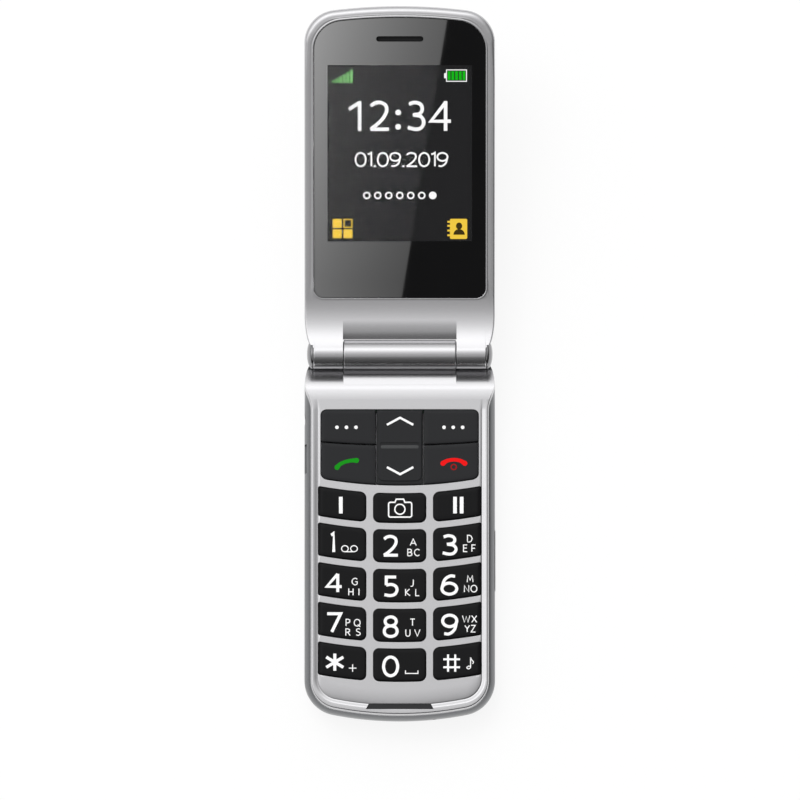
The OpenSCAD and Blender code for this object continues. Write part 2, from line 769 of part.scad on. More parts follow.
// The bar of the thumb recess at the foot of the face, made larger by grow
module foot_bar(grow, z0, z1) {
    y0 = body_l - deck_foot - 0.5;
    y1 = body_l - groove_in + 0.7;
    plate([[-thumb_w / 2 + 0.8 - grow, y0 - grow], [thumb_w / 2 - 0.8 + grow, y0 - grow],
        [thumb_w / 2 + grow, y1 + grow], [-thumb_w / 2 - grow, y1 + grow]], z0, z1);
}

// The rim of the front housing, hollow below, with the groove that runs inside it
module frame_ring() {
    flare = frame_inset;
    difference() {
        loft([
            [frame_z, inset_outline(body_shape, frame_inset, flare)],
            [body_t - 0.5, inset_outline(body_shape, frame_inset, flare)],
            [body_t - 0.15, inset_outline(body_shape, frame_inset + 0.1, flare)],
            [body_t, inset_outline(body_shape, frame_inset + 0.35, flare)]
        ]);
        loft([
            [body_t - groove_d, inset_outline(groove_shape, groove_in)],
            [body_t, inset_outline(groove_shape, rim_in)],
            [body_t + over, inset_outline(groove_shape, rim_in)]
        ]);
        plate(inset_outline(cavity_shape, 0), frame_z - over, deck_z);
    }
}

// Front housing: rim, groove, face with the key openings, and the middle barrel of the hinge
module front_housing() {
    color("silver") base_frame() difference() {
        union() {
            difference() {
                union() {
                    frame_ring();
                    deck();
                    block(-barrel_w / 2, barrel_w / 2, 0, root_l, board_z, frame_z + fit);
                }
                scoop();
                knuckle_notches();
            }
            at_axis() axle(barrel_r, -barrel_w / 2, barrel_w / 2);
            at_screws() translate([0, 0, board_z]) cylinder(r = boss_r, h = deck_z + fit - board_z);
        }
        for (column = [-1:1]) for (row = [0:4]) {
            y0 = row_y(row);
            plate(number_outline(column, y0, y0 + row_h(row), key_gap), deck_z - over, body_t + over);
        }
        plate(nav_opening(), deck_z - over, body_t + over);
        foot_bar(fit / 2, body_t - groove_d - fit, body_t + over);
        at_screws() translate([0, 0, board_z - over])
            cylinder(r = screw_r + fit / 2, h = deck_z - screw_tip + fit - board_z + over);
        for (s = [0, 1]) mirror([s, 0, 0]) at_axis()
            axle(shaft_r + fit / 4, barrel_w / 2 - shaft_in_barrel, barrel_w / 2 + over);
    }
}

// Rear housing: side walls, back, battery bay and the compartments beside it
module rear_housing() {
    edge = edge_steps(back_round[0], back_round[1]);
    lean = [[side_top, 0], [side_top + 1.3, 0.22], [side_top + 2.3, 0.56]];
    color("#9a9c9e") base_frame() difference() {
        loft(concat(
            [for (e = edge) [e.x, inset_outline(body_shape, e.y)]],
            [for (s = lean) [s.x, inset_outline(body_shape, s.y * frame_inset, s.y * frame_inset)]],
            [[frame_z, inset_outline(body_shape, frame_inset, frame_inset)]]
        ));
        plate(inset_outline(cavity_shape, 0), board_z, frame_z + over);
        block(-barrel_w / 2 - fit, barrel_w / 2 + fit, -barrel_r - over, root_l + fit,
            board_z - fit, frame_z + over);
        at_axis() axle(barrel_r + fit, -barrel_w / 2 - fit, barrel_w / 2 + fit);
        scoop();
        knuckle_notches();
        // Recess of the cover, bay of the battery, and the compartments above the back
        plate(cover_outline(-fit), -over, cover_t + fit);
        block(-bay_hw, bay_hw, bay_y0, bay_y1, 0, floor_z);
        block(-parts_hw, parts_hw, parts_y0, parts_y1, parts_z, frame_z + over);
        block(-contacts_hw - fit, contacts_hw + fit, parts_y1 - over, bay_y0 + over, parts_z, floor_z);
        block(antenna_x0 - 5 * fit, microphone_x + microphone_r + 9 * fit, foot_y0, foot_y1, parts_z,
            board_z + fit);
        for (s = [0, 1]) mirror([s, 0, 0])
            block(bay_hw + 1.4 * rib, bay_hw + 1.4 * rib + hollow_w, hollow_y0, hollow_y1, parts_z,
                board_z + over);
        // Screws
        at_screws() {
            translate([0, 0, -over]) cylinder(r = screw_r + fit, h = frame_z + 2 * over);
            cylinder(r = head_r + fit, h = screw_seat_z);
            translate([0, 0, board_z]) cylinder(r = boss_r + fit, h = frame_z);
        }
        // Mouths of the sockets, the microphone and the sound of the loudspeaker
        translate([0, jack_y, jack_z]) axle(jack_r + fit, -hw - over, -parts_hw + over);
        block(-hw - over, -parts_hw + over, usb_y - usb_w / 2 - fit, usb_y + usb_w / 2 + fit,
            usb_z - usb_h / 2 - fit, usb_z + usb_h / 2 + fit);
        translate([microphone_x, foot_y0 + rib, jack_z]) rotate([-90, 0, 0])
            cylinder(r = 0.5, h = body_l, $fn = 24);
        sound_slots(cover_t, parts_z + over);
        volume_room();
    }
}

// Slots over the loudspeaker, from z0 to z1
module sound_slots(z0, z1) {
    for (i = [-2:2])
        block(speaker_x - sound_w / 2, speaker_x + sound_w / 2, speaker_y + 2 * i - 0.5,
            speaker_y + 2 * i + 0.5, z0 - over, z1);
}

module volume_room() {
    half = volume_l / 2;
    h = volume_h / 2;
    block(volume_x - 2, volume_x + 0.75, volume_y - half - volume_lip - 0.4,
        volume_y + half + volume_lip + 0.4, volume_z - h - volume_lip - 0.3,
        volume_z + h + volume_lip + 0.3);
    block(volume_x, hw + over, volume_y - half - key_gap - fit, volume_y + half + key_gap + fit,
        volume_z - h - key_gap, volume_z + h + key_gap);
}

module foot_insert() {
    color("#2b2c2e") base_frame() foot_bar(0, body_t - groove_d - fit / 2, body_t - 0.4);
}

// Plan of the battery cover, made smaller by inset
function cover_outline(inset) = inset_outline([hw, cover_y1 - cover_l - cover_in, body_l, foot_bow_r,
    foot_corner_r, 6 + cover_in, flare_y], cover_in + inset);

module battery_cover() {
    color("#26272a") base_frame() difference() {
        plate(cover_outline(0), 0, cover_t);
        sound_slots(-over, cover_t + over);
        // Nail notch at the foot
        translate([0, cover_y1, -0.4]) rotate([90, 0, 0]) cylinder(r = 1, h = 1.4, center = true);
    }
}

module battery() {
    half = battery_w / 2;
    color("#3a3d42") base_frame()
        plate(key_outline(-half, half, bay_y0 + fit, bay_y0 + fit + battery_l, [1, 1, 1, 1], [0, 0]),
            battery_z, battery_z + battery_t);
}

// ---- Inside the keypad half ----

// Plan of the circuit board and of the layers on it, from y0 to y1
function layer_outline(y0, y1, inset) =
    inset_outline([hw, y0, y1, foot_bow_r, foot_corner_r, 2, flare_y], inset);

module layer(y0, y1, inset, z0, z1) {
    base_frame() difference() {
        plate(layer_outline(y0 - inset, y1 + inset, inset), z0, z1);
        at_screws() translate([0, 0, z0 - over])
            cylinder(r = boss_r + fit, h = z1 - z0 + 2 * over);
    }
}

module main_board() {
    color("seagreen") layer(root_l + 5 * fit, body_l - cavity_in - 2 * fit, cavity_in + 2 * fit, board_z, dome_z);
}

module dome_sheet() {
    color("khaki") layer(nav_top + 0.6, keys_end, cavity_in + 3 * fit, dome_z, mat_z);
}

module keypad_mat() {
    color("#4a4d52") layer(nav_top + 0.6, keys_end, cavity_in + 2 * fit, mat_z, mat_top);
}

module loudspeaker() {
    color("#2d2f33") base_frame() {
        plate(key_outline(speaker_x - speaker_w / 2, speaker_x + speaker_w / 2,
            speaker_y - speaker_l / 2, speaker_y + speaker_l / 2, [3, 3, 3, 3], [0, 0]),
            parts_z + fit, parts_z + speaker_h);
        block(speaker_x - speaker_w / 3, speaker_x + speaker_w / 3, speaker_y - speaker_l / 3,
            speaker_y + speaker_l / 3, parts_z + speaker_h, board_z - fit);
    }
}

module microphone() {
    color("gray") base_frame() translate([microphone_x, (foot_y0 + foot_y1) / 2, board_z - microphone_h])
        cylinder(r = microphone_r, h = microphone_h - fit / 2);
}

module vibration_motor() {
    can = motor_l / 2;
    color("silver") base_frame() translate([motor_x, jack_y, board_z - motor_r - fit]) {
        axle(motor_r, -can, can);
        axle(0.4, can, can + 1.4);
        translate([0, 0.6, 0]) axle(motor_r - 0.7, can + 1.2, can + 4.2);
    }
}

module antenna() {
    color("#44474c") base_frame()
        block(antenna_x0, antenna_x0 + antenna_l, foot_y0 + fit, foot_y1 - fit, parts_z + fit,
            board_z - fit / 2);
}

module sim_holder() {
    color("lightgray") base_frame()
        block(sim_x, sim_x + sim_w, sim_y, sim_y + sim_l, board_z - sim_t, board_z - fit / 2);
}

// Block with three spring blades that touch the battery
module battery_contacts() {
    color("goldenrod") base_frame() {
        block(-contacts_hw, contacts_hw, parts_y1 - contacts_l, parts_y1 - fit, parts_z + fit,
            board_z - fit / 2);
        for (x = [-3, 0, 3])
            block(x - 0.5, x + 0.5, parts_y1 - fit, bay_y0 + fit / 2, parts_z + 1, parts_z + 2.4);
    }
}

module usb_socket() {
    color("silver") base_frame() difference() {
        block(-hw + 0.9, -parts_hw + 5, usb_y - usb_w / 2, usb_y + usb_w / 2,
            usb_z - usb_h / 2, usb_z + usb_h / 2);
        block(-hw, -parts_hw + 4.6, usb_y - socket_w / 2, usb_y + socket_w / 2,
            usb_z - socket_h / 2, usb_z + socket_h / 2);
    }
}

// Barrel of the headset socket; its bore takes the plug
module headset_jack() {
    color("#2a2b2e") base_frame() translate([0, jack_y, jack_z]) difference() {
        axle(jack_r, -hw + 0.6, -hw + jack_l);
        axle(headset_d / 2, -hw, -hw + jack_l - 0.8);
    }
}

module body_screws() {
    color("gray") base_frame() at_screws() {
        translate([0, 0, screw_seat_z - screw_head_h]) cylinder(r = head_r, h = screw_head_h);
        translate([0, 0, screw_seat_z]) cylinder(r = screw_r, h = deck_z - screw_tip - screw_seat_z);
    }
}

// Rocker for the loudness, on the right side; it tips about an upright axis
module volume_key() {
    half = volume_l / 2;
    h = volume_h / 2;
    color("#2b2c2e") base_frame() {
        block(volume_x + 0.25, hw + volume_proud, volume_y - half, volume_y + half,
            volume_z - h, volume_z + h);
        block(volume_x - 0.25, volume_x + 0.35, volume_y - half - volume_lip,
            volume_y + half + volume_lip, volume_z - h - volume_lip, volume_z + h + volume_lip);
    }
}

lid_inner_housing();
lid_outer_cover();
display_lens();
display_module();
display_plate();
lid_board();
earpiece_speaker();
earpiece_mesh();
camera_module();
camera_window();
lid_magnet();
lid_screws();
hinge_cartridge();
hinge_end_caps();
hinge_shaft();
hinge_tube();
hinge_ribbon();
front_housing();
rear_housing();
foot_insert();
battery_cover();
battery();
main_board();
dome_sheet();
keypad_mat();
loudspeaker();
microphone();
vibration_motor();
antenna();
sim_holder();
battery_contacts();
usb_socket();
headset_jack();
body_screws();
soft_key_left();
soft_key_right();
call_key();
end_key();
nav_rocker();
memory_key_1();
camera_key();
memory_key_2();
key_1();
key_2();
key_3();
key_4();
key_5();
key_6();
key_7();
key_8();
key_9();
key_star();
key_0();
key_hash();
volume_key();
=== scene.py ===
"""Looks of a clamshell phone with large keys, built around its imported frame."""

import math
from functools import cache

import bmesh
import bpy
import numpy as np
from mathutils import Matrix, Vector


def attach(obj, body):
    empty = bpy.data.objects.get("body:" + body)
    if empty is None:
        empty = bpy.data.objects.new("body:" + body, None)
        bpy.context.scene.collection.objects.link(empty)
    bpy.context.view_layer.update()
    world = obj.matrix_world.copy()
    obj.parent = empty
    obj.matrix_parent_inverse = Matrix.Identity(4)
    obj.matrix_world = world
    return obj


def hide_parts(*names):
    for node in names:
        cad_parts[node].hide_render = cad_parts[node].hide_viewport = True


bl_info = {
    "name": "Flip Phone",
    "version": (1, 0, 0),
    "blender": (4, 5, 0),
    "location": "3D View > Sidebar > Flip Phone",
    "description": "Dresses a clamshell phone's frame with shells, keys, a display and finishes",
    "category": "Object",
}

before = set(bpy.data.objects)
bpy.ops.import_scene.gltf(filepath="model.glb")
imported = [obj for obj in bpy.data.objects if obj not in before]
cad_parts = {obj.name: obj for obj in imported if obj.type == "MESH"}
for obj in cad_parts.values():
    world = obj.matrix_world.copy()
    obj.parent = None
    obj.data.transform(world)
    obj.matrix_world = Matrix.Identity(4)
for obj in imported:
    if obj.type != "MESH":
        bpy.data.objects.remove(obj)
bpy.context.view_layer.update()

# Sizes of the part in millimetres, as in its source. Two working frames are used. In the keypad
# half y is the distance from the hinge axis towards the foot and z is above the table. In the
# lid y is the distance from the axis towards the tip and z is from the axis, along the display.
MM = 0.001
HALF_W = 26.0
HINGE_Y = 48.0
HINGE_Z = 11.5
LID_TILT = math.radians(15)

# Keypad half: its length, its heights above the table, and the bow and corners of its foot
BODY_L = 100.0
BODY_TOP = 11.0
FRAME_Z = 8.5
BOARD_Z = 7.2
FLANGE_Z = 9.2
DECK_Z = 9.8
KEY_TOP = 11.4
SKIN_IN = 2.2
FOOT_BOW, FOOT_CORNER = 95.0, 9.5

# Lid: its length, its heights from the axis, and the bow and corners of its tip
LID_L = 95.4
FACE = -0.5
SEAT = -1.4
INNER = -2.3
SPLIT = -4.2
BACK = -9.1
TIP_BOW, TIP_CORNER = 150.0, 9.0

# Hinge: the barrel, the knuckles, the hollow ramps up to the lid's face, and the nose between them
BARREL_R = 4.0
BARREL_X = 15.35
KNUCKLE_X = 15.5
KNUCKLE_END = 23.7
KNUCKLE_EDGE = 0.45
NOTCH_R = 4.4
RAMP_L = 15.5
RAMP_R = 24.94
RAMP_Z = 24.44
NOSE_R = 12.06
NOSE_Y = 9.4
LIP_R = 4.15
WING_L = 11.0
TUBE_BORE, SHAFT_BORE = 2.75, 1.35

# Rim of the keypad half: insets of its parts, depth of the groove, and (height, width) of its edge
FLARE_Y = 15.3
FRAME_IN = 1.6
RIM_IN = 2.5
RIM_STEP = 0.15
RIM_EDGE = (0.7, 0.5)
GROOVE_IN = 3.6
GROOVE_D = 0.4
EDGE_W = 0.7
FOOT_SLOPE = 3.6
FOOT_OUT = 0.7
FADE_Y, FADE_L = 11.5, 8.0
ROOT_L = 12.5

# (Height, width) of the rounded edges of the lid's frame, of the frame at the tip, of the lid's
# cover and of the back, how far the lid's wall is undercut at the tip, and how thick it is
LID_EDGE, TIP_EDGE, COVER_EDGE, BACK_EDGE = (0.7, 0.5), (1.5, 2.0), (4.9, 3.6), (4, 3)
TIP_IN = 0.5
LID_WALL = 1.6

# Display (half width, start and end), earpiece slot, camera, and the keys' rows
SCREEN = (19.7, 31.0, 79.4)
SLOT_Y = 86.6
CAMERA_Y = 67.0
ROW_BOW = 122.0
NAV_TOP, NAV_BOTTOM, NAV_SPLIT = 15.3, 35.9, 24.98

# Outlines: half width, hinge end, bowed end, radius of the bow, its corners, the hinge end's
# corners, and where the sides start to flare towards the hinge
BODY_SHAPE = (HALF_W, -4.0, BODY_L, FOOT_BOW, FOOT_CORNER, 12.0, FLARE_Y)
GROOVE_SHAPE = (HALF_W, ROOT_L / 2 - RIM_IN, BODY_L, FOOT_BOW, FOOT_CORNER, 2 + RIM_IN, FLARE_Y)
CAVITY_SHAPE = (22.6, 12.8, 96.6, 91.6, 6.1, 0.2, FLARE_Y)
DOOR_SHAPE = (HALF_W, 5.6, BODY_L, FOOT_BOW, FOOT_CORNER, 9.2, FLARE_Y)
LID_SHAPE = (HALF_W, NOTCH_R, LID_L, TIP_BOW, TIP_CORNER, 5.5, RAMP_L)
LID_ROOM_SHAPE = (HALF_W, RAMP_L, LID_L, TIP_BOW, TIP_CORNER, 3.0, RAMP_L + 9)
LENS_SHAPE = (23.45, 15.4, 92.5, 147.6, 8.0, 2.7, 20.8)
RAMP_END = LENS_SHAPE[1] - 0.3      # the ramps run out just outside the lens

# Screws: places in both halves, and radii of their heads' seats, clearance, bores and bosses
SCREWS = [(s * x, y) for s in (-1, 1) for x, y in ((19.0, 11.0), (19.8, 91.5))]
LID_SCREWS = [(s * x, y) for s in (-1, 1) for x, y in ((20.0, 19.6), (18.3, 86.8))]
HEAD_R, CLEAR_R, BORE_R, BOSS_R, COVER_BOSS_R = 1.4, 0.8, 0.75, 1.6, 1.7


# ---- Shapes: every one is (points, faces) in millimetres ----


def arc(cx, cy, r, a0, a1, n):
    """Points of a circle's arc between two angles in degrees: the centre plus the radius times
    the cosine and the sine of the angle."""
    a = np.radians(np.linspace(a0, a1, n + 1))
    return np.column_stack((cx + r * np.cos(a), cy + r * np.sin(a)))


def half_outline(shape, inset=0.0, flare=0.0):
    """Outline of one half of the phone: its right side runs up from the hinge end, through a
    flare that eases out as a cubic, round a corner and along the bow, and the left side is its
    mirror image. The inset moves every edge inwards by the same distance."""
    w, y0, y1, bow, rc, re, y_flare = shape
    w, y0, y1, bow = w - inset, y0 + inset - flare, y1 - inset, bow - inset
    rc, re = max(rc - inset, 0.2), max(re - inset + flare, 0.2)
    reach = math.sqrt((bow - rc) ** 2 - (w - rc) ** 2)
    turn = math.degrees(math.atan2(reach, w - rc))
    yc = y1 - bow + reach
    side0, side1 = y0 + re, max(y_flare, y0 + re + 1)
    u = np.linspace(0, 1, 11)[1:]
    eased = np.column_stack((w + flare * (1 - u * u * (3 - 2 * u)), side0 + (side1 - side0) * u))
    straight = np.column_stack((np.full(6, w), np.linspace(side1, yc, 8)[1:-1]))
    half_bow = arc(0, y1 - bow, bow, turn, 90, 16)[1:]
    right = np.vstack((arc(w + flare - re, y0 + re, re, -90, 0, 10), eased, straight,
                       arc(w - rc, yc, rc, 0, turn, 16), half_bow))
    return np.vstack((right, right[-2::-1] * (-1, 1)))


def at_height(outline, z):
    """A flat outline lifted to one height, or to a height for each point."""
    return np.column_stack((outline, np.broadcast_to(z, len(outline))))


def loft(rings):
    """Closed solid through rings with equal numbers of points: point i of a ring is joined to
    its neighbour and to the same points of the next ring, and both ends are capped."""
    n, k = len(rings[0]), len(rings)
    i = np.arange(n)
    j = (i + 1) % n
    start = (np.arange(k - 1) * n)[:, None]
    quads = np.stack((start + i, start + j, start + n + j, start + n + i), axis=2).reshape(-1, 4)
    ends = [list(range(n))[::-1], list(range((k - 1) * n, k * n))]
    return np.vstack(rings), quads.tolist() + ends


def prism(outline, z0, z1):
    """An outline carried straight up from z0 to z1."""
    return loft([at_height(outline, z0), at_height(outline, z1)])


def block(x0, x1, y0, y1, z0, z1):
    """A box between two corners, as a cutter or a seat."""
    return prism(np.array([(x0, y0), (x1, y0), (x1, y1), (x0, y1)], float), z0, z1)


def along_x(profile, x0, x1):
    """A (y, z) profile carried straight along X."""
    return loft([np.column_stack((np.full(len(profile), x), profile)) for x in (x0, x1)])


def turned_x(profile, n=72, y=0.0, z=0.0):
    """Turned solid about an axis along X: each (x, radius) of the profile becomes a circle."""
    a = np.linspace(0, 2 * math.pi, n, endpoint=False)
    return loft([np.column_stack((np.full(n, x), y + r * np.cos(a), z + r * np.sin(a)))
                 for x, r in profile])


def turned_z(profile, x=0.0, y=0.0, n=64):
    """Turned solid about an upright axis: each (radius, z) of the profile becomes a circle."""
    a = np.linspace(0, 2 * math.pi, n, endpoint=False)
    return loft([np.column_stack((x + r * np.cos(a), y + r * np.sin(a), np.full(n, z)))
                 for r, z in profile])


def turned_y(profile, x, z, n):
    """Turned solid about an axis along the phone: each (radius, y) becomes a circle."""
    points, faces = turned_z(profile, n=n)
    return points[:, [0, 2, 1]] + (x, 0, z), faces


def quarter(height, width, n):
    """Heights and insets along a quarter of an ellipse, from its flat end to its upright end."""
    a = np.linspace(0, math.pi / 2, n + 1)
    return np.column_stack((height * (1 - np.cos(a)), width * (1 - np.sin(a))))


def joined(*shapes):
    """Several closed shapes as one, each with its own points."""
    points, faces, first = [], [], 0
    for p, f in shapes:
        points.append(p)
        faces += [[first + v for v in face] for face in f]
        first += len(p)
    return np.vstack(points), faces


def mirrored(shape):
    """The same shape on the other side of the phone, with its faces turned back outwards."""
    return shape[0] * (-1, 1, 1), [face[::-1] for face in shape[1]]


def mesh_of(shape, name="work"):
    """The mesh of a shape, with every face turned outwards."""
    mesh = bpy.data.meshes.new(name)
    mesh.from_pydata(shape[0], [], shape[1])
    work = bmesh.new()
    work.from_mesh(mesh)
    bmesh.ops.recalc_face_normals(work, faces=work.faces)
    work.to_mesh(mesh)
    work.free()
    return mesh


def combined(shape, others, operation):
    """The exact union or difference of one shape and several others, worked out in millimetres."""
    scene = bpy.context.scene
    group = bpy.data.collections.new("cutters")
    scene.collection.children.link(group)
    base = bpy.data.objects.new("work", mesh_of(shape))
    scene.collection.objects.link(base)
    tools = [bpy.data.objects.new("tool", mesh_of(other)) for other in others]
    for tool in tools:
        group.objects.link(tool)
    cut = base.modifiers.new("cut", "BOOLEAN")
    cut.operation, cut.solver = operation, "EXACT"
    cut.operand_type, cut.collection = "COLLECTION", group
    bpy.context.view_layer.update()
    ready = bpy.data.meshes.new_from_object(
        base.evaluated_get(bpy.context.evaluated_depsgraph_get()))
    points = np.empty(len(ready.vertices) * 3, np.float32)
    ready.vertices.foreach_get("co", points)
    corners = np.empty(len(ready.loops), np.int32)
    ready.loops.foreach_get("vertex_index", corners)
    starts = np.empty(len(ready.polygons), np.int32)
    ready.polygons.foreach_get("loop_start", starts)
    faces = [part.tolist() for part in np.split(corners, starts[1:])]
    if not faces:
        raise RuntimeError("a cut left nothing")
    for o in [base, *tools]:
        bpy.data.objects.remove(o)
    bpy.data.collections.remove(group)
    return points.reshape(-1, 3).astype(float), faces


def longer(shape, reach):
    """The same outline with its bowed end further out."""
    return (*shape[:2], shape[2] + reach, *shape[3:])


def in_keypad(points):
    """From the keypad half's frame to the row frame, in metres: y is mirrored about the axis."""
    return np.column_stack((points[:, 0], HINGE_Y - points[:, 1], points[:, 2])) * MM


def in_lid(points):
    """From the lid's frame to the row frame, in metres: a turn by the lid's tilt about X."""
    c, s = math.cos(LID_TILT), math.sin(LID_TILT)
    y, z = points[:, 1], points[:, 2]
    return np.column_stack((points[:, 0], HINGE_Y + y * c - z * s, HINGE_Z + y * s + z * c)) * MM


def add_piece(name, shape, place, body, material, replaces=(), smooth=32.0):
    """Makes a shape a piece of the phone: smooth up to an angle, with flat faces kept flat,
    riding on a body and standing for its nodes."""
    mesh = mesh_of((place(shape[0]), shape[1]), name)
    mesh.shade_smooth()
    mesh.set_sharp_from_angle(angle=math.radians(smooth))
    mesh.materials.append(material)
    piece = bpy.data.objects.new(name, mesh)
    bpy.context.scene.collection.objects.link(piece)
    even = piece.modifiers.new("flat faces stay flat", "WEIGHTED_NORMAL")
    even.keep_sharp = True
    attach(piece, body)
    if replaces:
        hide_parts(*replaces)
    return piece


# ---- Printed marks: strokes with a width, one thin closed layer each ----


def spline(points, closed=False, n=10):
    """Catmull-Rom curve through points: each span is a cubic whose slopes come from the
    neighbours on both sides."""
    p = np.asarray(points, float)
    if closed:
        p = np.vstack((p[-1], p, p[:2]))
    else:
        p = np.vstack((2 * p[0] - p[1], p, 2 * p[-1] - p[-2]))
    a, b, c, d = p[:-3, None], p[1:-2, None], p[2:-1, None], p[3:, None]
    t = np.linspace(0, 1, n, endpoint=False)[None, :, None]
    curve = 0.5 * (2 * b + (c - a) * t + (2 * a - 5 * b + 4 * c - d) * t ** 2
                   + (3 * b - a - 3 * c + d) * t ** 3)
    curve = curve.reshape(-1, 2)
    return curve if closed else np.vstack((curve, p[-2]))


def stroke(path, width, z0, z1, closed=False):
    """A closed band along a path: its sides stand off by half the width along the mitred
    normal, between two heights."""
    p = np.asarray(path, float)
    width = np.broadcast_to(width, len(p))[:, None]
    steps = np.diff(np.vstack((p, p[:1])), axis=0)
    unit = steps / np.maximum(np.linalg.norm(steps, axis=1, keepdims=True), 1e-9)
    after = unit if closed else np.vstack((unit[:-1], unit[-2:-1]))
    before = np.roll(after, 1, axis=0)
    if not closed:
        before[0] = after[0]
    left_after = np.column_stack((-after[:, 1], after[:, 0]))
    left_before = np.column_stack((-before[:, 1], before[:, 0]))
    mitre = left_after + left_before
    mitre /= np.maximum((mitre ** 2).sum(1, keepdims=True) / 2, 0.5)
    left, right = p + mitre * width / 2, p - mitre * width / 2
    rows = [at_height(left, z0), at_height(right, z0), at_height(right, z1), at_height(left, z1)]
    n = len(p)
    points = np.stack(rows, axis=1).reshape(-1, 3)
    i = np.arange(n if closed else n - 1)
    j = (i + 1) % n
    k = np.arange(4)
    m = (k + 1) % 4
    quads = np.stack((i[:, None] * 4 + k, i[:, None] * 4 + m, j[:, None] * 4 + m,
                      j[:, None] * 4 + k), axis=2).reshape(-1, 4).tolist()
    if not closed:
        quads += [[3, 2, 1, 0], [4 * n - 4, 4 * n - 3, 4 * n - 2, 4 * n - 1]]
    return points, quads


def oval(cx, cy, rx, ry, n=28):
    """Points of an ellipse: the centre plus its radii times the cosine and the sine."""
    a = np.linspace(0, 2 * math.pi, n, endpoint=False)
    return np.column_stack((cx + rx * np.cos(a), cy + ry * np.sin(a)))


